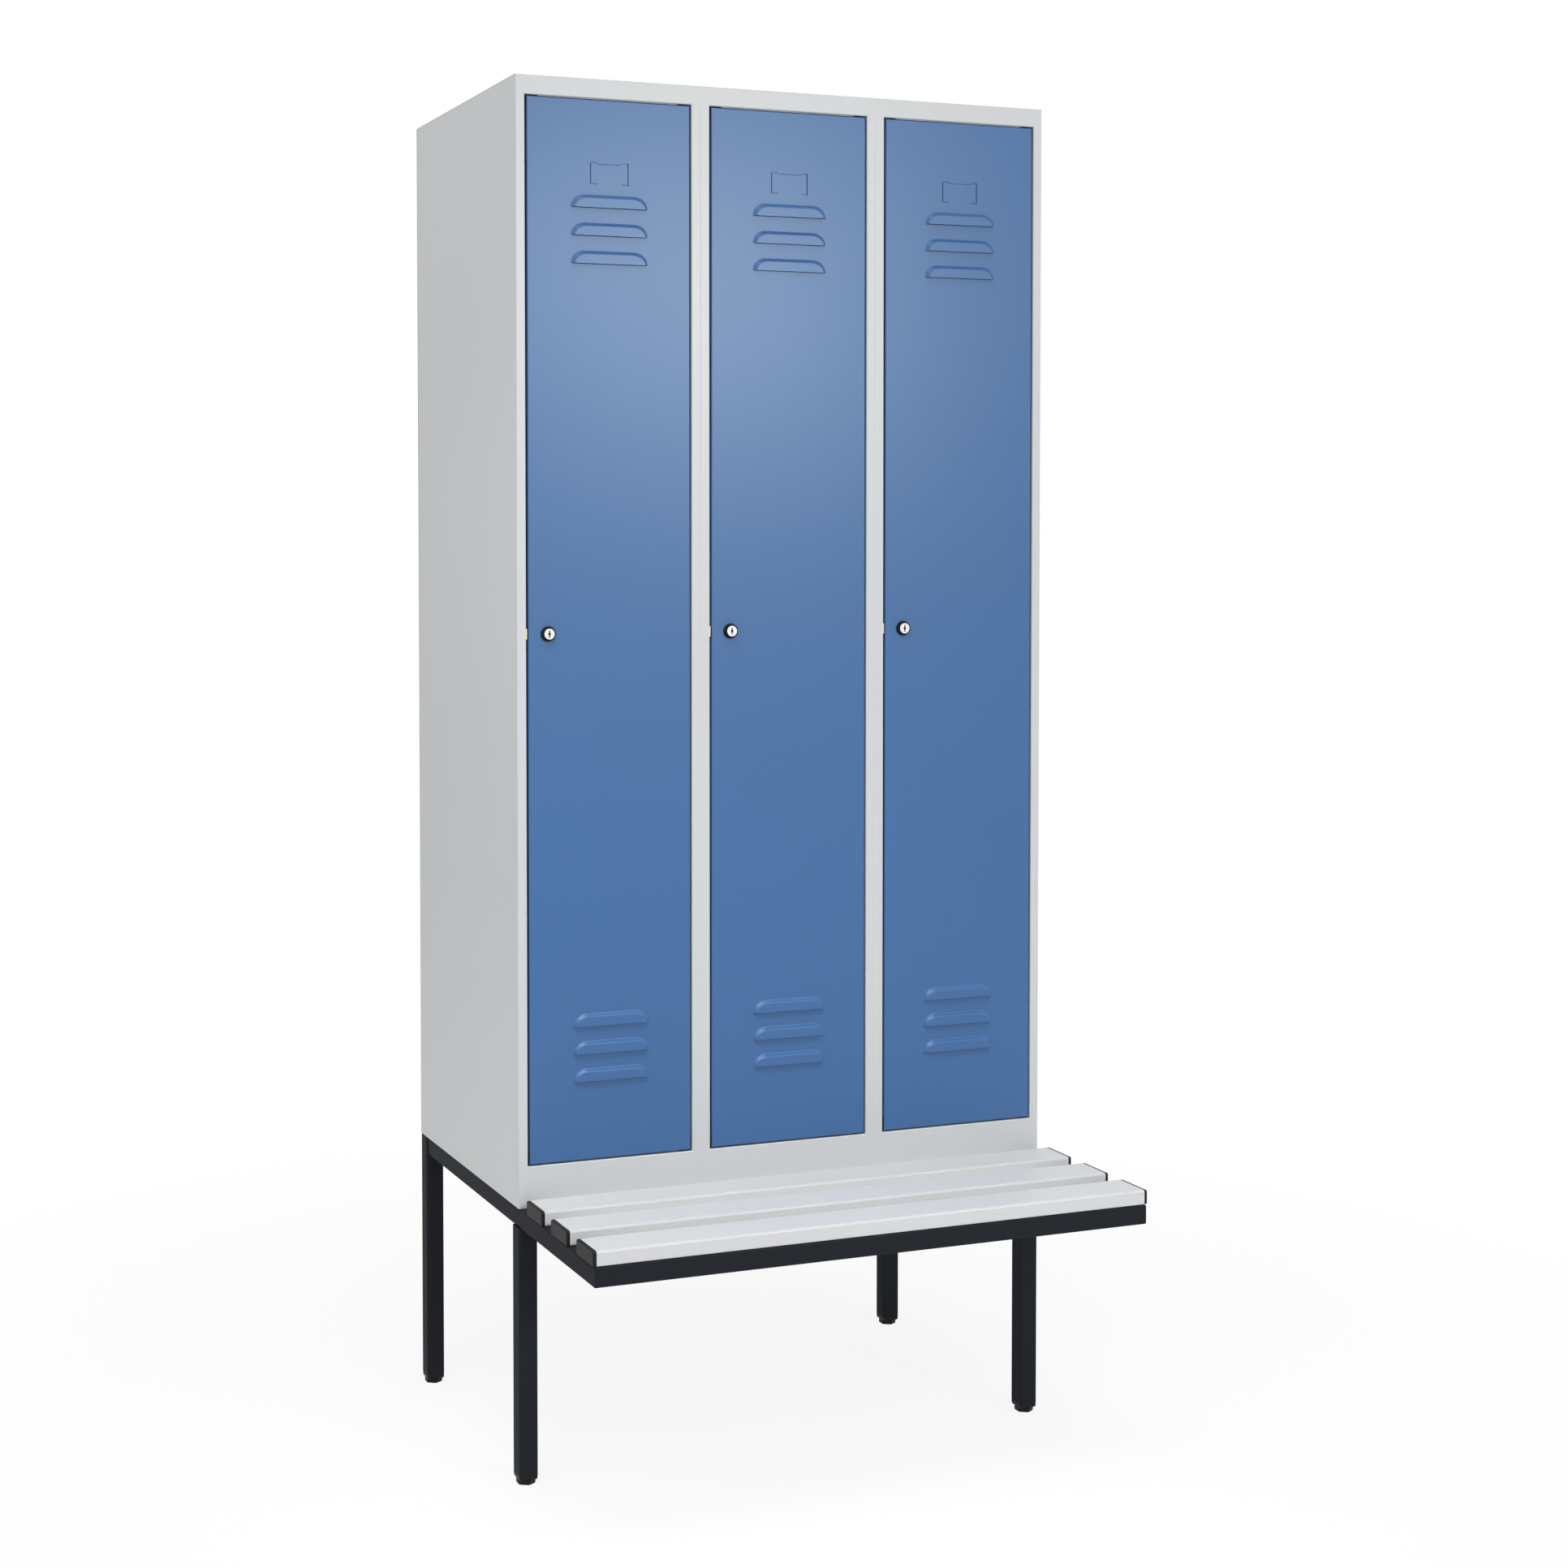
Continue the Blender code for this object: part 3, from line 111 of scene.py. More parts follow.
CARD_SCORE_DROP = 0.0028    # slits' upper edge to the score line between them
CARD_PLATE = 0.0006
CARD_PLATE_REACH = 0.005    # beyond the slits
CARD_PLATE_CORNER = 0.003
CARD_PLATE_DEPTH = 0.0016   # door's face to the plate's front

# Lock sizes
LOCK_INSET = 0.0315
LOCK_FACE_RADIUS = 0.0085
LOCK_FACE_BEVEL = 0.0004
LOCK_BARREL_RADIUS = 0.0088
LOCK_BORE_RADIUS = 0.0074
LOCK_BACK = 0.0229
LOCK_NUT_RADIUS = 0.0130
LOCK_NUT_HEIGHT = 0.004
ROSETTE_RADIUS = 0.0117
ROSETTE_RIM_RADIUS = 0.0096
ROSETTE_HEIGHT = 0.007
# Flank of the rosette, as inset from its radius and height over the door
ROSETTE_FLANK = ((0.0003, SEAM / 2), (0.0, 0.0008), (0.0, 0.0016), (0.0003, 0.0028))
KEYHOLE_WIDTH = 0.0018
KEYHOLE_HEIGHT = 0.0112
KEYHOLE_RADIUS = 0.0021
KEYHOLE_DEPTH = 0.0035
CAM_FRONT = 0.0235
CAM_THICKNESS = 0.0025
CAM_SHAFT_RADIUS = 0.004
CAM_SCREW_RADIUS = 0.0062

# Strike noses, whose plan is given as x past the outer face and depth behind the front
NOSE_PROUD = 0.00012        # before the front of the stile
NOSE_PLAN = ((-0.0030, 0.0010), (-0.0030, 0.0002), (-0.0028, 0.0), (-0.0008, 0.0),
             (-0.00035, 0.0001), (-0.0001, 0.0004), (0.0, 0.0009))
NOSE_ROUND = 0.0005         # depth to which the ends are drawn in
NOSE_SHEET = 0.0012
NOSE_OVERLAP = 0.001        # with the strike plate
NOSE_EASE = 0.0003          # how far the ends are drawn in

# Paint in the seams, with depths behind the front and drops below the top
PAINT_PROUD = 0.00002       # before the front
PAINT_DEPTH = 0.0012
PAINT_OVERLAP = 0.0001      # with the sheets beside a strip
JOINT_LOW_DROP = 0.0021
JOINT_HIGH_DROP = 0.0006
LINE_HALF = 0.00035         # half width of the line between two folded stiles
LINE_DEPTH = 0.00018
LINE_STOP = 0.0004          # line's end to the edge of a rail
HEM_FRONT = 0.0040
HEM_BACK = 0.0055
HEM_DROP = 0.0010           # below the top rail's fold

# Feet and their plugs
STEM_BORE = 0.0055
STEM_BORE_CORNER = 0.0053
STEM_RADIUS = 0.005
STEM_CHAMFER = 0.0008
PLUG_INSERT = (0.0125, 0.0015)      # half width and corner radius
PLUG_FLANGE_TOP = (0.0146, 0.0022)
PLUG_FLANGE = (0.0147, 0.0022)
PLUG_FLANGE_HEIGHT = 0.007
PLUG_FLANGE_CHAMFER = 0.0003
# Lower rim of a plug, as half width, corner radius and height over its end
PLUG_RIM = ((0.0147, 0.0022, 0.0030), (0.0144, 0.0025, 0.0014),
            (0.0138, 0.0028, 0.0004), (0.0131, 0.0030, 0.0))
FOOT_FLATS = 0.0272
FOOT_HEIGHT = 0.007
FOOT_CORNER = 1.10          # reach of the rounded corners over that of the flats
# Rim of a foot's disc, as inset from its flats and distance from its end
FOOT_RIM = ((0.0010, 0.0), (0.0003, 0.0003), (0.0, 0.0010))

# Smoothness
SHARP_ANGLE = 32
FOLD_STEPS = 4
HOOD_STEPS = 8
SHOULDER_STEPS = 12
HOLE_STEPS = 12             # to half a turn
CORNER_STEPS = 5            # to a quarter turn
RIM_STEPS = 6
KEYHOLE_END_STEPS = 4
KEYHOLE_MIDDLE_STEPS = 10
NUT_SIDES = 6
PIN_SIDES = 24
ROUND_SIDES = 48
PLUG_SIDES = 64

# Nearness, as distances and as decimals of a coordinate
CLOSE = 1e-6
MERGE = 1e-5
FLAT_DIGITS = 7
CORNER_DIGITS = 6


# Node helpers
class Tree:
    """A material's nodes, added and linked in short calls."""

    def __init__(self, name):
        self.material = bpy.data.materials.new(name)
        self.material.use_nodes = True
        self.tree = self.material.node_tree
        self.shader = self.tree.nodes["Principled BSDF"]
        self.output = self.tree.nodes["Material Output"]

    def add(self, kind, inputs=(), **settings):
        node = self.tree.nodes.new(kind)
        for key, value in settings.items():
            setattr(node, key, value)
        for key, value in dict(inputs).items():
            self.feed(node.inputs[key], value)
        return node

    def feed(self, socket, value):
        if isinstance(value, bpy.types.NodeSocket):
            self.tree.links.new(value, socket)
        else:
            socket.default_value = value

    def coat(self, **inputs):
        """Feed the shader's inputs by short names."""
        sockets = {"colour": "Base Color", "metal": "Metallic", "gloss": "Specular IOR Level",
                   "tint": "Specular Tint", "roughness": "Roughness", "normal": "Normal"}
        for key, value in inputs.items():
            self.feed(self.shader.inputs[sockets[key]], value)

    def math(self, operation, *values, clamp=False):
        node = self.add("ShaderNodeMath", operation=operation, use_clamp=clamp)
        for socket, value in zip(node.inputs, values):
            self.feed(socket, value)
        return node.outputs[0]

    def place(self):
        return self.add("ShaderNodeTexCoord").outputs["Object"]

    def noise(self, scale, detail=2.0, roughness=0.5, stretch=None):
        vector = self.place()
        if stretch:
            vector = self.add("ShaderNodeMapping", {"Vector": vector, "Scale": stretch}).outputs[0]
        return self.add("ShaderNodeTexNoise", {"Vector": vector, "Scale": scale, "Detail": detail,
                                               "Roughness": roughness}).outputs["Fac"]

    def span(self, value, low, high, to_low=0.0, to_high=1.0):
        return self.add("ShaderNodeMapRange", {"Value": value, "From Min": low, "From Max": high,
                                               "To Min": to_low, "To Max": to_high}).outputs[0]

    def mix(self, factor, a, b):
        """Two colours mixed, by the node's sockets for colours among those for other types."""
        factor_in, a_in, b_in, colour_out = 0, 6, 7, 2
        node = self.add("ShaderNodeMix", data_type="RGBA", blend_type="MIX")
        for index, value in ((factor_in, factor), (a_in, a), (b_in, b)):
            self.feed(node.inputs[index], value)
        return node.outputs[colour_out]

    def bump(self, height, strength, distance, normal=None):
        node = self.add("ShaderNodeBump", {"Strength": strength, "Distance": distance,
                                           "Height": height})
        if normal is not None:
            self.feed(node.inputs["Normal"], normal)
        return node.outputs[0]

    def edges(self, radius):
        """About 0 on flat faces, up to 1 on corners and folds."""
        flat_cosine, corner_cosine = 0.995, 0.85
        rounded = self.add("ShaderNodeBevel", {"Radius": radius}, samples=4).outputs[0]
        plain = self.add("ShaderNodeNewGeometry").outputs["Normal"]
        dot = self.add("ShaderNodeVectorMath", {0: rounded, 1: plain}, operation="DOT_PRODUCT")
        return self.span(dot.outputs["Value"], flat_cosine, corner_cosine)


def rgba(colour, gain=1.0):
    return (*(min(1.0, c * gain) for c in colour), 1.0)


# Most of a noise's values lie between about 0.3 and 0.7, so the spans below end near these
def powder_coat(name, colour, roughness, gloss, wear=0.25, worn=None):
    """Baked powder paint: a fine peel, a slow drift of tone, faint wear on its folds."""
    darker, lighter, speckle, worn_roughness = 0.988, 1.012, 0.965, 0.15
    m = Tree(name)
    drift = m.noise(scale=2.2)
    fine = m.noise(scale=900.0, roughness=0.6)
    tone = m.mix(m.span(drift, 0.3, 0.7), rgba(colour, darker), rgba(colour, lighter))
    tone = m.mix(m.span(fine, 0.35, 0.65, to_high=0.35), tone, rgba(colour, speckle))
    patchy = m.span(m.noise(scale=38.0, detail=3.0, roughness=0.7), 0.42, 0.62)
    edge = m.math("MULTIPLY", m.math("MULTIPLY", m.edges(radius=0.0012), patchy), wear)
    worn = worn or tuple(min(1.0, c * 1.25 + 0.02) for c in colour)
    rough = m.span(m.noise(scale=620.0, roughness=0.6), 0.3, 0.7, roughness - 0.02, roughness + 0.02)
    ripple = m.bump(m.noise(scale=330.0, detail=1.0), strength=0.5, distance=0.00003)
    peel = m.bump(m.noise(scale=1100.0, detail=1.0), strength=0.5, distance=0.00001, normal=ripple)
    m.coat(colour=m.mix(edge, tone, rgba(worn)), gloss=gloss, normal=peel,
           roughness=m.math("ADD", rough, m.math("MULTIPLY", edge, worn_roughness)))
    return m


def moulded_plastic(name, colour, roughness, gloss):
    """Black injection-moulded plastic with a fine spark-eroded grain."""
    m = Tree(name)
    grain = m.noise(scale=1500.0, detail=3.0, roughness=0.7)
    scuff = m.span(m.noise(scale=30.0, detail=5.0, roughness=0.7), 0.55, 0.75, to_high=0.5)
    m.coat(colour=m.mix(scuff, rgba(colour), rgba(colour, 1.8)), gloss=gloss,
           roughness=m.span(grain, 0.3, 0.7, roughness - 0.06, roughness + 0.08),
           normal=m.bump(grain, strength=0.25, distance=0.00006))
    return m


def plated_steel(name, colour, second, roughness, stretch, scale=260.0):
    """Plated metal: cloudy colour and drawn scratches along one direction."""
    m = Tree(name)
    cloud = m.span(m.noise(scale=55.0, detail=4.0, roughness=0.6), 0.35, 0.65)
    drawn = m.noise(scale, detail=3.0, roughness=0.6, stretch=stretch)
    m.coat(colour=m.mix(cloud, rgba(colour), rgba(second)), metal=1.0,
           roughness=m.span(drawn, 0.3, 0.7, roughness - 0.08, roughness + 0.10),
           normal=m.bump(drawn, strength=0.12, distance=0.00004))
    return m


def dress(material, *names):
    for name in names:
        slots = NODES[name].data.materials
        slots.clear()
        slots.append(material)


# Materials
body_paint = powder_coat("body_paint", BODY_GREY, roughness=0.34, gloss=0.42, wear=0.08)
slat_paint = powder_coat("slat_paint", SLAT_GREY, roughness=0.40, gloss=0.10, wear=0.08)
frame_paint = powder_coat("frame_paint", FRAME_BLACK, roughness=0.42, gloss=0.015, wear=0.35,
                          worn=FRAME_WORN)
plastic = moulded_plastic("black_plastic", PLASTIC_BLACK, roughness=0.42, gloss=0.1)
zinc = plated_steel("zinc", ZINC, ZINC_CLOUD, roughness=0.34, stretch=(1.0, 8.0, 8.0))
yellow_zinc = plated_steel("yellow_zinc", YELLOW_ZINC, YELLOW_ZINC_CLOUD, roughness=0.42,
                           stretch=(8.0, 8.0, 1.0))
nickel = plated_steel("nickel", NICKEL, NICKEL_CLOUD, roughness=0.46, stretch=(6.0, 1.0, 6.0),
                      scale=500.0)
blue_paint = powder_coat("door_paint", DOOR_BLUE, roughness=0.32, gloss=0.46, worn=DOOR_WORN)
blue_paint.coat(tint=DOOR_GLOSS)
# Painted shade for the keyhole's walls and floor, made with the same recipe as the black plastic
painted_keyhole_shade = moulded_plastic("painted_keyhole_shade", PAINTED_KEYHOLE_SHADE, roughness=0.6, gloss=0.05)

dress(body_paint.material, "side_panel_left", "side_panel_right", "divider_1", "divider_2",
      "back_panel", "top_panel", "floor_panel", "hat_shelf_1", "hat_shelf_2", "hat_shelf_3")
dress(slat_paint.material, "bench_slat_front", "bench_slat_middle", "bench_slat_rear")
dress(frame_paint.material, "side_rail_left", "side_rail_right", "bench_front_rail",
      "front_cross_rail", "rear_cross_rail", "leg_front_left", "leg_front_right",
      "leg_rear_left", "leg_rear_right")
for number in (1, 2, 3):
    dress(blue_paint.material, f"door_{number}", f"door_stiffener_{number}")
    dress(plastic.material, f"lock_housing_{number}")
    dress(nickel.material, f"lock_cylinder_{number}")
    dress(zinc.material, f"lock_cam_{number}", f"coat_rail_{number}")
    dress(yellow_zinc.material, f"strike_plate_{number}")
for name in NODES:
    if name.startswith(("slat_end_cap", "leg_plug", "foot_", "rail_connector")):
        dress(plastic.material, name)


# Outlines
def arc(middle, radius, start, end, steps):
    """Points on an arc, from one angle in degrees to another."""
    spots = []
    for step in range(steps + 1):
        angle = math.radians(start + (end - start) * step / steps)
        spots.append((middle[0] + radius * math.cos(angle), middle[1] + radius * math.sin(angle)))
    return spots


def rectangle(low_x, low_z, high_x, high_z):
    return [(low_x, low_z), (high_x, low_z), (high_x, high_z), (low_x, high_z)]


def rounded_rectangle(low_u, low_v, high_u, high_v, radius):
    """From the right side over the top, with an arc at each corner."""
    left, right, bottom, top = low_u + radius, high_u - radius, low_v + radius, high_v - radius
    outline = []
    for centre, start in (((right, top), 0), ((left, top), 90), ((left, bottom), 180),
                          ((right, bottom), 270)):
        outline += arc(centre, radius, start, start + 90, CORNER_STEPS)
    return outline


def meet_corners(polygons):
    """Each flat polygon with the corners of its neighbours that lie on its own edges."""
    polygons = [[(round(x, FLAT_DIGITS), round(z, FLAT_DIGITS)) for x, z in polygon]
                for polygon in polygons]
    corners = sorted({corner for polygon in polygons for corner in polygon})
    full = []
    for polygon in polygons:
        path = []
        for start, end in zip(polygon, polygon[1:] + polygon[:1]):
            start = Vector(start)
            run = Vector(end) - start
            path.append(tuple(start))
            on_edge = []
            for corner in corners:
                step = Vector(corner) - start
                along = step.dot(run) / run.length
                if CLOSE < along < run.length - CLOSE and abs(step.cross(run)) / run.length < CLOSE:
                    on_edge.append((along, corner))
            path += [corner for _, corner in sorted(on_edge)]
        full.append(path)
    return full


# Building finer pieces
def add_piece(name, builder, materials, body, place=(0, 0, 0)):
    """One piece on its body, with even shading across its flats and folds."""
    mesh = bpy.data.meshes.new(name)
    builder.to_mesh(mesh)
    builder.free()
    for made in materials:
        mesh.materials.append(made.material)
    mesh.shade_smooth()
    mesh.set_sharp_from_angle(angle=math.radians(SHARP_ANGLE))
    piece = bpy.data.objects.new(name, mesh)
    bpy.context.scene.collection.objects.link(piece)
    piece.location = place
    even = piece.modifiers.new("even_shading", "WEIGHTED_NORMAL")
    even.keep_sharp = True
    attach(piece, body)
    return piece


def face_outwards(builder):
    bmesh.ops.recalc_face_normals(builder, faces=builder.faces)


def turned(builder, profile, along, sides=ROUND_SIDES, centre=(0, 0, 0)):
    """A closed loop of (radius, height) pairs turned about an axis, added to the builder."""
    rings = []
    for radius, height in profile:
        ring = []
        for step in range(sides if radius > 0 else 1):
            angle = 2 * math.pi * (step + 0.5) / sides
            a, b = radius * math.cos(angle), radius * math.sin(angle)
            point = (a, height, b) if along == "Y" else (a, b, height)
            ring.append(builder.verts.new(Vector(point) + Vector(centre)))
        rings.append(ring)
    made = []
    for ring, after in zip(rings, rings[1:] + rings[:1]):
        if len(ring) == 1 and len(after) == 1:
            continue
        for step in range(sides):
            a, b = ring[step % len(ring)], ring[(step + 1) % len(ring)]
            c, d = after[(step + 1) % len(after)], after[step % len(after)]
            made.append(builder.faces.new(list(dict.fromkeys((a, b, c, d)))))
    bmesh.ops.recalc_face_normals(builder, faces=made)


def bridge(builder, ring, following):
    """Faces between two closed rings of corners."""
    made = []
    for index in range(len(ring)):
        after = (index + 1) % len(ring)
        corners = (ring[index], ring[after], following[after], following[index])
        made.append(builder.faces.new(corners))
    return made


def loft(builder, rings, capped=True):
    """Skin over rings of (x, y, z) points, with a flat face at each end if it is capped."""
    rows = [[builder.verts.new(point) for point in ring] for ring in rings]
    for row, following in zip(rows, rows[1:]):
        bridge(builder, row, following)
    if capped:
        builder.faces.new(rows[0])
        builder.faces.new(rows[-1])


def thicken(builder, outline, depth):
    """A plate from a flat outline of (x, y, z) points back to a depth."""
    base = builder.faces.new([builder.verts.new(point) for point in outline])
    grown = bmesh.ops.extrude_face_region(builder, geom=[base])["geom"]
    moved = [item for item in grown if isinstance(item, bmesh.types.BMVert)]
    bmesh.ops.translate(builder, vec=(0, depth, 0), verts=moved)


# Doors
def louver_outline(inset):
    """Right end, over the top, to the left end, as (x, z) from the mouth's middle."""
    half = LOUVER_WIDTH / 2 - inset
    height = LOUVER_HEIGHT - inset
    right = []
    for step in range(SHOULDER_STEPS + 1):
        angle = math.pi / 2 * step / SHOULDER_STEPS
        right.append((half - LOUVER_SHOULDER * (1 - math.cos(angle)), height * math.sin(angle)))
    return right + [(-x, z) for x, z in reversed(right)]


def louver_mouths(half_z):
    upper = [half_z - UPPER_LOUVER_DROP - index * LOUVER_PITCH for index in range(3)]
    lower = [-half_z + LOWER_LOUVER_LIFT + index * LOUVER_PITCH for index in range(3)]
    return sorted(upper + lower)


def score_line(half_z):
    """Outline of the shallow line between the slits' upper arms, from its left tip."""
    end = CARD_WIDTH / 2 - CARD_ARM - CARD_SCORE
    run = end - 3 * CARD_SCORE
    middle = half_z - CARD_DROP - CARD_SCORE_DROP
    return [(-end, middle), (-run, middle + CARD_SCORE), (run, middle + CARD_SCORE),
            (end, middle), (run, middle - CARD_SCORE), (-run, middle - CARD_SCORE)]


def louver_bands(edge_x, half_z):
    """Strips of the face above each louver's mouth, as (low, high, polygons)."""
    bands = []
    for mouth in louver_mouths(half_z):
        high = mouth + LOUVER_HEIGHT + FACE_MARGIN
        hood = [(x, z + mouth) for x, z in reversed(louver_outline(0))]
        around = [(-edge_x, mouth)] + hood + [(edge_x, mouth), (edge_x, high), (-edge_x, high)]
        bands.append((mouth, high, [around]))
    return bands


def lock_band(edge_x, half_x):
    """The strip with the lock's hole, in two halves."""
    hole = LOCK_BARREL_RADIUS + SEAM
    middle = (LOCK_INSET - half_x, 0)
    reach = hole + FACE_MARGIN
    over = [(-edge_x, 0)] + arc(middle, hole, 180, 0, HOLE_STEPS)
    over += [(edge_x, 0), (edge_x, reach), (-edge_x, reach)]
    under = [(edge_x, 0)] + arc(middle, hole, 0, -180, HOLE_STEPS)
    under += [(-edge_x, 0), (-edge_x, -reach), (edge_x, -reach)]
    return -reach, reach, [over, under]


def card_band(edge_x, half_z):
    """The strip with the card slits, each an upright with an arm at either end."""
    outer, inner = CARD_WIDTH / 2, CARD_WIDTH / 2 - CARD_ARM
    top = half_z - CARD_DROP
    low = top - CARD_HEIGHT
    across = [-edge_x, -outer, -outer + CARD_SLIT, -inner, inner, outer - CARD_SLIT, outer, edge_x]
    up = [low, low + CARD_SLIT, top - CARD_SLIT, top]
    uprights, arms, between = (1, 5), (2, 4), 3
    cells = []
    for column, (left, right) in enumerate(zip(across, across[1:])):
        for row, (bottom, high) in enumerate(zip(up, up[1:])):
            slit = column in uprights or (column in arms and row in (0, 2))
            if not slit and column != between:
                cells.append(rectangle(left, bottom, right, high))
    line = score_line(half_z)
    cells.append([(-inner, line[0][1])] + line[:4]
                 + [(inner, line[3][1]), (inner, top), (-inner, top)])
    cells.append([(inner, line[3][1])] + line[3:] + [line[0]]
                 + [(-inner, line[0][1]), (-inner, low), (inner, low)])
    return low, top, cells


def face_polygons(half_x, half_z):
    """The door's flat face, cut open for louvers, lock and card slits."""
    edge_x, edge_z = half_x - DOOR_FOLD, half_z - DOOR_FOLD
    bands = louver_bands(edge_x, half_z) + [lock_band(edge_x, half_x), card_band(edge_x, half_z)]
    flat = []
    level = -edge_z
    for low, high, polygons in sorted(bands, key=lambda band: band[0]):
        flat.append(rectangle(-edge_x, level, edge_x, low))
        flat += polygons
        level = high
    flat.append(rectangle(-edge_x, level, edge_x, edge_z))
    return meet_corners(flat)


def score_faces(half_z):
    """Faces of the score line, pressed in to a line along its middle."""
    left, high_left, high_right, right, low_right, low_left = (
        (x, z, 0) for x, z in score_line(half_z))
    deep_left = (high_left[0], left[1], -CARD_SCORE)
    deep_right = (high_right[0], left[1], -CARD_SCORE)
    return [(left, high_left, deep_left), (high_left, high_right, deep_right, deep_left),
            (high_right, right, deep_right), (left, deep_left, low_left),
            (low_left, deep_left, deep_right, low_right), (low_right, deep_right, right)]


def hood_faces(mouth):
    """Faces of a louver's hood, which rises in a soft curve from its outline to its flat top."""
    rings = []
    for step in range(HOOD_STEPS + 1):
        share = step / HOOD_STEPS
        rise = LOUVER_RISE * (1 - math.cos(math.pi * share)) / 2
        rings.append([(x, z + mouth, rise) for x, z in louver_outline(LOUVER_RUN * share)])
    made = []
    for ring, inner in zip(rings, rings[1:]):
        for index in range(len(ring) - 1):
            made.append((ring[index], ring[index + 1], inner[index + 1], inner[index]))
    return made + [rings[-1]]


def door_folds():
    """The sheet's path round the door's edge, as (past the flat face, outwards)."""
    turns = [math.pi / 2 * step / FOLD_STEPS for step in range(FOLD_STEPS + 1)]
    folds = [(DOOR_FOLD * math.sin(turn), DOOR_FOLD * (math.cos(turn) - 1)) for turn in turns]
    folds += [(DOOR_FOLD * math.cos(turn), DOOR_FOLD * (1 - math.sin(turn)) - DOOR_DEPTH)
              for turn in turns]
    return folds + [(DOOR_FOLD - DOOR_LIP, -DOOR_DEPTH)]


def door_skin(half_x, half_z):
    """The door's folded and pressed sheet, from the middle of its face."""
    builder = bmesh.new()
    found = {}

    def corner(x, z, out):
        key = tuple(round(value, CORNER_DIGITS) for value in (x, z, out))
        if key not in found:
            found[key] = builder.verts.new((x, -out, z))
        return found[key]

    def face(points):
        builder.faces.new([corner(*point) for point in points])

    edge_x, edge_z = half_x - DOOR_FOLD, half_z - DOOR_FOLD
    flat = face_polygons(half_x, half_z)
    for polygon in flat:
        face([(x, z, 0) for x, z in polygon])
    for points in score_faces(half_z):
        face(points)
    for mouth in louver_mouths(half_z):
        for points in hood_faces(mouth):
            face(points)
    levels = sorted({z for polygon in flat for x, z in polygon
                     if abs(x + edge_x) < CLOSE and abs(z) < edge_z - CLOSE})
    rims = []
    for off, out in door_folds():
        x, z = edge_x + off, edge_z + off
        left = [(-x, -z)] + [(-x, level) for level in levels] + [(-x, z)]
        right = [(x, z)] + [(x, level) for level in reversed(levels)] + [(x, -z)]
        rims.append([(u, w, out) for u, w in left + right])
    for rim, after in zip(rims, rims[1:]):
        for index in range(len(rim)):
            following = (index + 1) % len(rim)
            face((rim[index], rim[following], after[following], after[index]))
    face_outwards(builder)
    widest = max(builder.faces, key=lambda item: item.calc_area())
    if widest.normal.y > 0:
        bmesh.ops.reverse_faces(builder, faces=builder.faces)
    bmesh.ops.solidify(builder, geom=builder.faces[:], thickness=SHEET)
    return builder


def card_plate(half_z):
    """The plate behind the slits, with rounded corners, that a name card slides in front of."""
    builder = bmesh.new()
    reach_x = CARD_WIDTH / 2 + CARD_PLATE_REACH
    high = half_z - CARD_DROP + CARD_PLATE_REACH
    low = high - CARD_HEIGHT - 2 * CARD_PLATE_REACH
    outline = rounded_rectangle(-reach_x, low, reach_x, high, CARD_PLATE_CORNER)
    thicken(builder, [(x, CARD_PLATE_DEPTH, z) for x, z in outline], CARD_PLATE)
    face_outwards(builder)
    return builder


def corner_caps(half_x, half_z):
    """Four L-shaped plastic pieces with softened edges, pressed onto the door's corners."""
    builder = bmesh.new()
    near, far = -SHEET / 2, CORNER_THICKNESS - DOOR_EASE
    outline = [(far, far), (far, -CORNER_LEG), (near, -CORNER_LEG), (near, near),
               (-CORNER_LEG, near), (-CORNER_LEG, far)]
    for side in (-1, 1):
        for up in (-1, 1):
            flat = [(side * (half_x + x), CORNER_SET_BACK, up * (half_z + z)) for x, z in outline]
            thicken(builder, flat, CORNER_DEPTH)
    face_outwards(builder)
    bmesh.ops.bevel(builder, geom=builder.edges[:], offset=CORNER_BEVEL, segments=2, profile=0.5,
                    affect="EDGES", clamp_overlap=True)
    return builder


def hinge_pins(half_x, half_z):
    builder = bmesh.new()
    neck, head = half_z - SHEET / 2, half_z - SHEET - PIN_HEAD_HEIGHT
    tip = half_z + PIN_REACH - DOOR_EASE
    profile = [(0, tip), (PIN_RADIUS - PIN_TIP_INSET, tip), (PIN_RADIUS, tip - PIN_TIP_CHAMFER),
               (PIN_RADIUS, neck), (PIN_HEAD_RADIUS, neck),
               (PIN_HEAD_RADIUS, head + PIN_HEAD_CHAMFER),
               (PIN_HEAD_RADIUS - PIN_HEAD_CHAMFER, head), (0, head)]
    place = (half_x - DOOR_EASE - HINGE_INSET, HINGE_DEPTH, 0)
    turned(builder, profile, "Z", PIN_SIDES, place)
    turned(builder, [(radius, -height) for radius, height in profile], "Z", PIN_SIDES, place)
    return builder


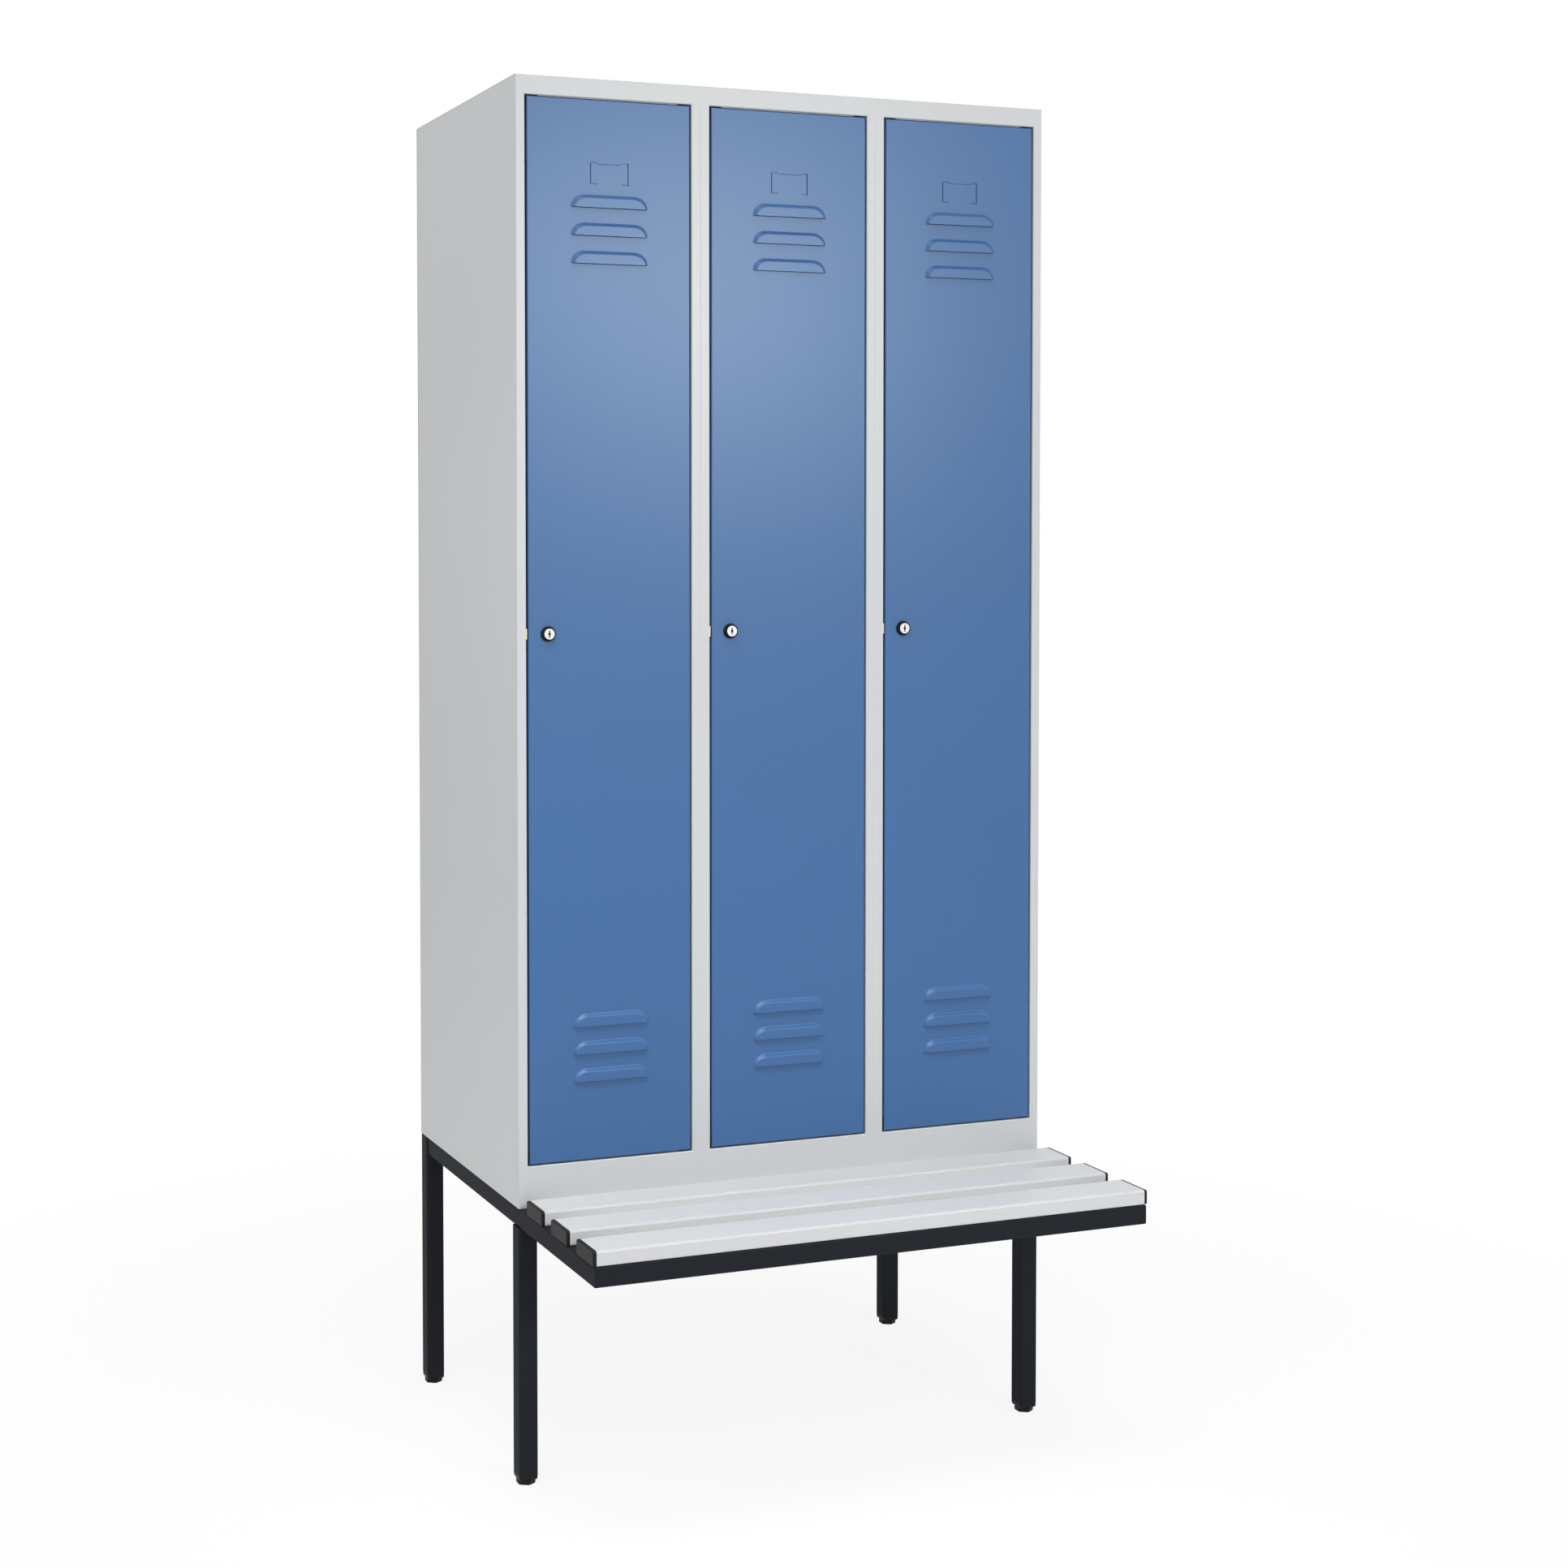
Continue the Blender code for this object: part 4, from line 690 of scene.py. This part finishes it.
# Locks, with heights measured from the door's face towards the back
def lock_rosette():
    """The rosette with its rolled rim and the barrel behind it, and the nut on the barrel."""
    builder = bmesh.new()
    front = -ROSETTE_HEIGHT
    recess = LOCK_FACE_RADIUS + SEAM
    floor = front + 2 * SHEET
    rim = (ROSETTE_RIM_RADIUS - recess) / 2
    crown = arc((recess + rim, front + rim), rim, -20, -180, RIM_STEPS)
    flank = [(ROSETTE_RADIUS - inset, -height) for inset, height in ROSETTE_FLANK]
    profile = [(LOCK_BORE_RADIUS, LOCK_BACK), (LOCK_BARREL_RADIUS, LOCK_BACK),
               (LOCK_BARREL_RADIUS, -SEAM / 2), *flank, *crown,
               (recess, floor), (LOCK_BORE_RADIUS, floor)]
    turned(builder, profile, "Y")
    nut_low = SHEET + SEAM
    inner = (LOCK_BARREL_RADIUS + LOCK_BORE_RADIUS) / 2
    nut = [(inner, nut_low), (LOCK_NUT_RADIUS, nut_low),
           (LOCK_NUT_RADIUS, nut_low + LOCK_NUT_HEIGHT), (inner, nut_low + LOCK_NUT_HEIGHT)]
    turned(builder, nut, "Y", NUT_SIDES)
    return builder


def keyhole_half():
    """Right half of the keyhole's outline, from its lower end to its upper end."""
    half = KEYHOLE_WIDTH / 2
    end = KEYHOLE_HEIGHT / 2 - half
    neck = math.degrees(math.acos(half / KEYHOLE_RADIUS))
    return (arc((0, -end), half, -90, 0, KEYHOLE_END_STEPS)
            + arc((0, 0), KEYHOLE_RADIUS, -neck, neck, KEYHOLE_MIDDLE_STEPS)
            + arc((0, end), half, 0, 90, KEYHOLE_END_STEPS))


def lock_cylinder():
    """The plug's face with its keyhole, painted dark inside as shade, its body behind, and the screw
    that holds the cam.
    """
    builder = bmesh.new()
    face_y = -ROSETTE_HEIGHT + SHEET / 2
    face_back = -ROSETTE_HEIGHT + 2 * SHEET - SEAM
    back = CAM_FRONT + CAM_THICKNESS + SEAM
    body = LOCK_BORE_RADIUS - SEAM
    bevel = LOCK_FACE_BEVEL
    half = keyhole_half()
    loop = half + [(-x, z) for x, z in reversed(half[1:-1])]
    rim_radius = LOCK_FACE_RADIUS - bevel
    turns = [2 * math.pi * step / PLUG_SIDES for step in range(PLUG_SIDES)]
    rim_flat = [(rim_radius * math.sin(turn), -rim_radius * math.cos(turn)) for turn in turns]
    rim = [builder.verts.new((x, face_y, z)) for x, z in rim_flat]
    hole = [builder.verts.new((x, face_y, z)) for x, z in loop]
    last = len(half) - 1
    middle = PLUG_SIDES // 2
    builder.faces.new(rim[:middle + 1] + hole[:last + 1][::-1])
    builder.faces.new(rim[middle:] + rim[:1] + [hole[0]] + hole[last:][::-1])
    deep = [builder.verts.new((x, face_y + KEYHOLE_DEPTH, z)) for x, z in loop]
    # The keyhole's walls and floor take the second material, painted shade that stands in for the
    # dark of a deep keyway
    for dark in bridge(builder, hole, deep) + [builder.faces.new(deep)]:
        dark.material_index = 1
    profile = [(LOCK_FACE_RADIUS, face_y + bevel), (LOCK_FACE_RADIUS, face_back), (body, face_back),
               (body, CAM_FRONT - SEAM), (CAM_SHAFT_RADIUS, CAM_FRONT - SEAM),
               (CAM_SHAFT_RADIUS, back), (CAM_SCREW_RADIUS, back),
               (CAM_SCREW_RADIUS, back + CAM_THICKNESS - bevel),
               (CAM_SCREW_RADIUS - bevel, back + CAM_THICKNESS)]
    ring = rim
    for radius, y in profile:
        scale = radius / rim_radius
        following = [builder.verts.new((x * scale, y, z * scale)) for x, z in rim_flat]
        bridge(builder, ring, following)
        ring = following
    builder.faces.new(ring)
    face_outwards(builder)
    return builder


def build_doors():
    for number in (1, 2, 3):
        low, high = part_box(f"door_{number}")
        half_x = (high.x - low.x) / 2 - CORNER_THICKNESS + DOOR_EASE
        half_z = (high.z - low.z) / 2 - PIN_REACH + DOOR_EASE
        middle = Vector(((low.x + high.x) / 2, high.y - DOOR_DEPTH, (low.z + high.z) / 2))
        body = f"door_{number}"
        skin = add_piece(f"door_skin_{number}", door_skin(half_x, half_z), [blue_paint], body,
                         middle)
        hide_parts(f"door_{number}")
        add_piece(f"card_plate_{number}", card_plate(half_z), [blue_paint], body, middle)
        add_piece(f"door_corners_{number}", corner_caps(half_x, half_z), [plastic], body,
                  middle)
        add_piece(f"hinge_pins_{number}", hinge_pins(half_x, half_z), [plastic], body,
                  middle)
        axis = middle + Vector((LOCK_INSET - half_x, 0, 0))
        rosette = add_piece(f"lock_rosette_{number}", lock_rosette(), [plastic], body,
                            axis)
        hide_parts(f"lock_housing_{number}")
        plug = add_piece(f"lock_plug_{number}", lock_cylinder(), [nickel, painted_keyhole_shade],
                         f"lock_{number}", axis)
        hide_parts(f"lock_cylinder_{number}")


# Feet, with heights measured from the floor
def foot_plug(low, high):
    """Tube plug with a soft lower rim, a short insert and a bore for the foot's stem."""
    builder = bmesh.new()
    flange = low + PLUG_FLANGE_HEIGHT
    bore = (STEM_BORE, STEM_BORE_CORNER)
    sections = [(*bore, high), (*PLUG_INSERT, high), (*PLUG_INSERT, flange),
                (*PLUG_FLANGE_TOP, flange), (*PLUG_FLANGE, flange - PLUG_FLANGE_CHAMFER)]
    sections += [(half, corner, low + rise) for half, corner, rise in PLUG_RIM]
    sections += [(*bore, low), (*bore, high)]
    rings = []
    for half, corner, z in sections:
        outline = rounded_rectangle(-half, -half, half, half, corner)
        rings.append([(x, y, z) for x, y in outline])
    loft(builder, rings, capped=False)
    bmesh.ops.remove_doubles(builder, verts=builder.verts, dist=MERGE)
    face_outwards(builder)
    return builder


def foot_ring(reach, z):
    """Six flats with rounded corners, one of them to the front."""
    points = []
    for index in range(ROUND_SIDES):
        turn = 2 * math.pi * index / ROUND_SIDES
        off = (turn + math.pi / 6) % (math.pi / 3) - math.pi / 6
        radius = min(reach / math.cos(off), reach * FOOT_CORNER)
        points.append((radius * math.cos(turn), radius * math.sin(turn), z))
    return points


def stem_ring(radius, z):
    turns = [2 * math.pi * index / ROUND_SIDES for index in range(ROUND_SIDES)]
    return [(radius * math.cos(turn), radius * math.sin(turn), z) for turn in turns]


def levelling_foot(top):
    """Six-sided disc with softened rims on a round stem."""
    builder = bmesh.new()
    half = FOOT_FLATS / 2
    rings = [foot_ring(half - inset, rise) for inset, rise in FOOT_RIM]
    rings += [foot_ring(half - inset, FOOT_HEIGHT - rise) for inset, rise in reversed(FOOT_RIM)]
    rings += [stem_ring(STEM_RADIUS, FOOT_HEIGHT), stem_ring(STEM_RADIUS, top - STEM_CHAMFER),
              stem_ring(STEM_RADIUS - STEM_CHAMFER, top)]
    loft(builder, rings)
    face_outwards(builder)
    return builder


def build_feet():
    for place in ("front_left", "front_right", "rear_left", "rear_right"):
        low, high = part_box(f"leg_plug_{place}")
        middle = Vector(((low.x + high.x) / 2, (low.y + high.y) / 2, 0))
        plug = add_piece(f"tube_plug_{place}", foot_plug(low.z, high.z), [plastic], "carcass",
                         middle)
        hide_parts(f"leg_plug_{place}")
        stem_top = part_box(f"foot_{place}")[1].z
        disc = add_piece(f"foot_disc_{place}", levelling_foot(stem_top), [plastic],
                         f"foot_{place}", middle)
        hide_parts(f"foot_{place}")


# Front edges of the strike plates
def strike_nose(plate):
    """Front edge of a strike plate, bent round the fold of its stile."""
    builder = bmesh.new()
    low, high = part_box(plate)
    out, front = high.x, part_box("side_panel_left")[0].y - NOSE_PROUD
    back = low.y + NOSE_OVERLAP - front
    plan = [(out + x, depth) for x, depth in NOSE_PLAN]
    plan += [(out, back), (out - NOSE_SHEET, back)]
    middle = out - NOSE_SHEET
    rings = []
    for z, ease in ((low.z, NOSE_EASE), (low.z + NOSE_EASE, 0), (high.z - NOSE_EASE, 0),
                    (high.z, NOSE_EASE)):
        ring = []
        for x, depth in plan:
            sideways = math.copysign(min(ease, abs(x - middle)), x - middle)
            backwards = ease if depth < NOSE_ROUND else 0
            ring.append((x - sideways, front + depth + backwards, z))
        rings.append(ring)
    loft(builder, rings)
    face_outwards(builder)
    return builder


def build_strike_noses():
    for number in (1, 2, 3):
        add_piece(f"strike_nose_{number}", strike_nose(f"strike_plate_{number}"), [yellow_zinc],
                  "carcass")


# Painted seams of the carcass's front
def seam_paint():
    """Paint and hems that close the grooves between the front's folded edges."""
    builder = bmesh.new()
    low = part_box("side_panel_left")[0]
    top_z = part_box("top_panel")[1].z
    half_width = abs(low.x)
    opening_low, opening_high = low.z + BOTTOM_RAIL, top_z - TOP_RAIL
    fold = CARCASS_FOLD
    # How far into the curve of a fold the strips start, and how far into the rail the hems reach
    at_opening, at_corner, at_stile, in_rail = (fold * share for share in (0.6, 0.8, 0.7, 0.5))
    beside = SEAM + PAINT_OVERLAP

    def strip(plan, lower, upper):
        """A prism between two heights on a plan of (x, depth behind the front)."""
        loft(builder, [[(x, low.y + y, z) for x, y in plan] for z in (lower, upper)])

    def block(left, right):
        return rectangle(left, -PAINT_PROUD, right, PAINT_DEPTH)

    for side in (-1, 1):
        edge = side * (half_width - STILE)
        left, right = sorted((edge + side * (fold + PAINT_OVERLAP), edge - side * beside))
        strip(block(left, right), opening_high + at_opening, top_z - JOINT_LOW_DROP)
        strip(block(left, right), low.z + at_corner, opening_low - at_opening)
        left, right = sorted((side * (half_width - at_corner), edge - side * beside))
        strip(block(left, right), top_z - JOINT_LOW_DROP, top_z - JOINT_HIGH_DROP)
    pitch = 2 * half_width / 3
    for index in (1, 2):
        middle = low.x + index * pitch
        half = SEAM / 2 + fold
        groove = [(middle - half, -PAINT_PROUD), (middle - LINE_HALF, -PAINT_PROUD),
                  (middle, LINE_DEPTH), (middle + LINE_HALF, -PAINT_PROUD),
                  (middle + half, -PAINT_PROUD), (middle + half, PAINT_DEPTH),
                  (middle - half, PAINT_DEPTH)]
        strip(groove, opening_low + LINE_STOP, opening_high - LINE_STOP)
        ends = block(middle - STILE + at_stile, middle + STILE - at_stile)
        strip(ends, opening_high - LINE_STOP, opening_high + fold)
        strip(ends, opening_low - fold, opening_low + LINE_STOP)
    beside_opening = STILE + CORNER_LEG + CORNER_THICKNESS
    for index in range(3):
        left = low.x + index * pitch + beside_opening
        right = low.x + (index + 1) * pitch - beside_opening
        strip(rectangle(left, HEM_FRONT, right, HEM_BACK), opening_high - HEM_DROP,
              opening_high + in_rail)
    face_outwards(builder)
    add_piece("seam_paint", builder, [body_paint], "carcass")


build_doors()
build_feet()
build_strike_noses()
seam_paint()


# Floor, backdrop and light
def studio_floor():
    """A pale floor that keeps the object's shadow and fades to plain white around it."""
    fade_start, fade_end, white_share = 0.6, 2.0, 0.85
    m = Tree("studio_floor")
    ray = m.add("ShaderNodeLightPath").outputs
    seen = m.math("ADD", ray["Is Camera Ray"], ray["Is Glossy Ray"])
    seen = m.math("ADD", seen, ray["Is Transmission Ray"], clamp=True)
    length = m.add("ShaderNodeVectorMath", {0: m.place()}, operation="LENGTH").outputs["Value"]
    away = m.span(length, fade_start, fade_end, to_low=white_share)
    grain = m.noise(scale=160.0, detail=3.0, roughness=0.6)
    m.coat(colour=m.mix(grain, FLOOR_DARK, FLOOR_LIGHT), roughness=0.85, gloss=0.2)
    white = m.add("ShaderNodeEmission", {"Color": WHITE, "Strength": 1.0})
    both = m.add("ShaderNodeMixShader", {0: m.math("MULTIPLY", seen, away)})
    m.feed(both.inputs[1], m.shader.outputs[0])
    m.feed(both.inputs[2], white.outputs[0])
    m.feed(m.output.inputs["Surface"], both.outputs[0])
    mesh = bpy.data.meshes.new("studio_floor")
    builder = bmesh.new()
    bmesh.ops.create_grid(builder, x_segments=8, y_segments=8, size=9.0)
    builder.to_mesh(mesh)
    builder.free()
    mesh.materials.append(m.material)
    floor = bpy.data.objects.new("studio_floor", mesh)
    bpy.context.scene.collection.objects.link(floor)


def world_light(level):
    """An even light from all round, seen as plain white by the camera and in reflections."""
    world = bpy.data.worlds.new("studio")
    bpy.context.scene.world = world
    world.use_nodes = True
    nodes, links = world.node_tree.nodes, world.node_tree.links
    ambient = nodes["Background"]
    ambient.inputs["Color"].default_value = SKY
    ambient.inputs["Strength"].default_value = level
    white = nodes.new("ShaderNodeBackground")
    white.inputs["Color"].default_value = WHITE
    white.inputs["Strength"].default_value = 1.0
    ray = nodes.new("ShaderNodeLightPath").outputs
    either = ray["Is Camera Ray"]
    for kind in ("Is Glossy Ray", "Is Transmission Ray"):
        add = nodes.new("ShaderNodeMath")
        add.operation = "ADD"
        add.use_clamp = True
        links.new(either, add.inputs[0])
        links.new(ray[kind], add.inputs[1])
        either = add.outputs[0]
    mix = nodes.new("ShaderNodeMixShader")
    links.new(either, mix.inputs[0])
    links.new(ambient.outputs[0], mix.inputs[1])
    links.new(white.outputs[0], mix.inputs[2])
    links.new(mix.outputs[0], nodes["World Output"].inputs["Surface"])


def soft_box(name, place, target, size, power, spread=180):
    """A rectangular lamp, with its size as width and height and its spread in degrees."""
    lamp = bpy.data.lights.new(name, "AREA")
    lamp.shape = "RECTANGLE"
    lamp.size, lamp.size_y = size
    lamp.energy = power
    lamp.spread = math.radians(spread)
    holder = bpy.data.objects.new(name, lamp)
    bpy.context.scene.collection.objects.link(holder)
    holder.location = place
    aim = Vector(target) - Vector(place)
    holder.rotation_euler = aim.to_track_quat("-Z", "Y").to_euler()


studio_floor()
world_light(level=0.572)
upper_doors = (-0.1, -0.1, 1.8)
soft_box("key_box", (1.90, -4.4, 2.10), upper_doors, size=(0.8, 0.6), power=22.5)
soft_box("high_box", (1.50, -4.6, 2.50), upper_doors, size=(1.4, 0.5), power=43.0)
soft_box("top_box", (-0.5, -1.4, 5.5), (-0.1, -0.9, 0.4), size=(3.0, 1.3), power=32.0)
soft_box("bench_box", (-0.5, -1.1, 2.6), (-0.2, -0.45, 0.4), size=(2.0, 0.7), power=4.6, spread=60)
soft_box("side_box", (-2.6, -0.9, 3.4), (-0.45, 0.15, 1.6), size=(1.4, 1.4), power=12.5)


# Camera, fitted to the photograph's edges with a smaller shift than an exact fit needs
def make_camera():
    width, focal, centre_x = 1932.0, 2928.9, 666.9      # in the photograph's pixels
    rise = -0.10
    place = (-1.6272, -3.4465, 1.4240)
    yaw, pitch, roll = (math.radians(angle) for angle in (19.942, 1.965, -0.175))
    forward = Vector((math.sin(yaw) * math.cos(pitch), math.cos(yaw) * math.cos(pitch),
                      -math.sin(pitch)))
    right = Vector((math.cos(yaw), -math.sin(yaw), 0))
    up = right.cross(forward)
    rolled_right = right * math.cos(roll) + up * math.sin(roll)
    rolled_up = up * math.cos(roll) - right * math.sin(roll)
    data = bpy.data.cameras.new("camera")
    data.sensor_width = 36.0
    data.lens = focal / width * data.sensor_width
    data.shift_x = (width / 2 - centre_x) / width
    data.shift_y = rise
    camera = bpy.data.objects.new("camera", data)
    bpy.context.scene.collection.objects.link(camera)
    turn = Matrix((rolled_right, rolled_up, -forward)).transposed().to_4x4()
    camera.matrix_world = Matrix.Translation(place) @ turn
    bpy.context.scene.camera = camera


make_camera()

view = bpy.context.scene.view_settings
view.view_transform = "Standard"
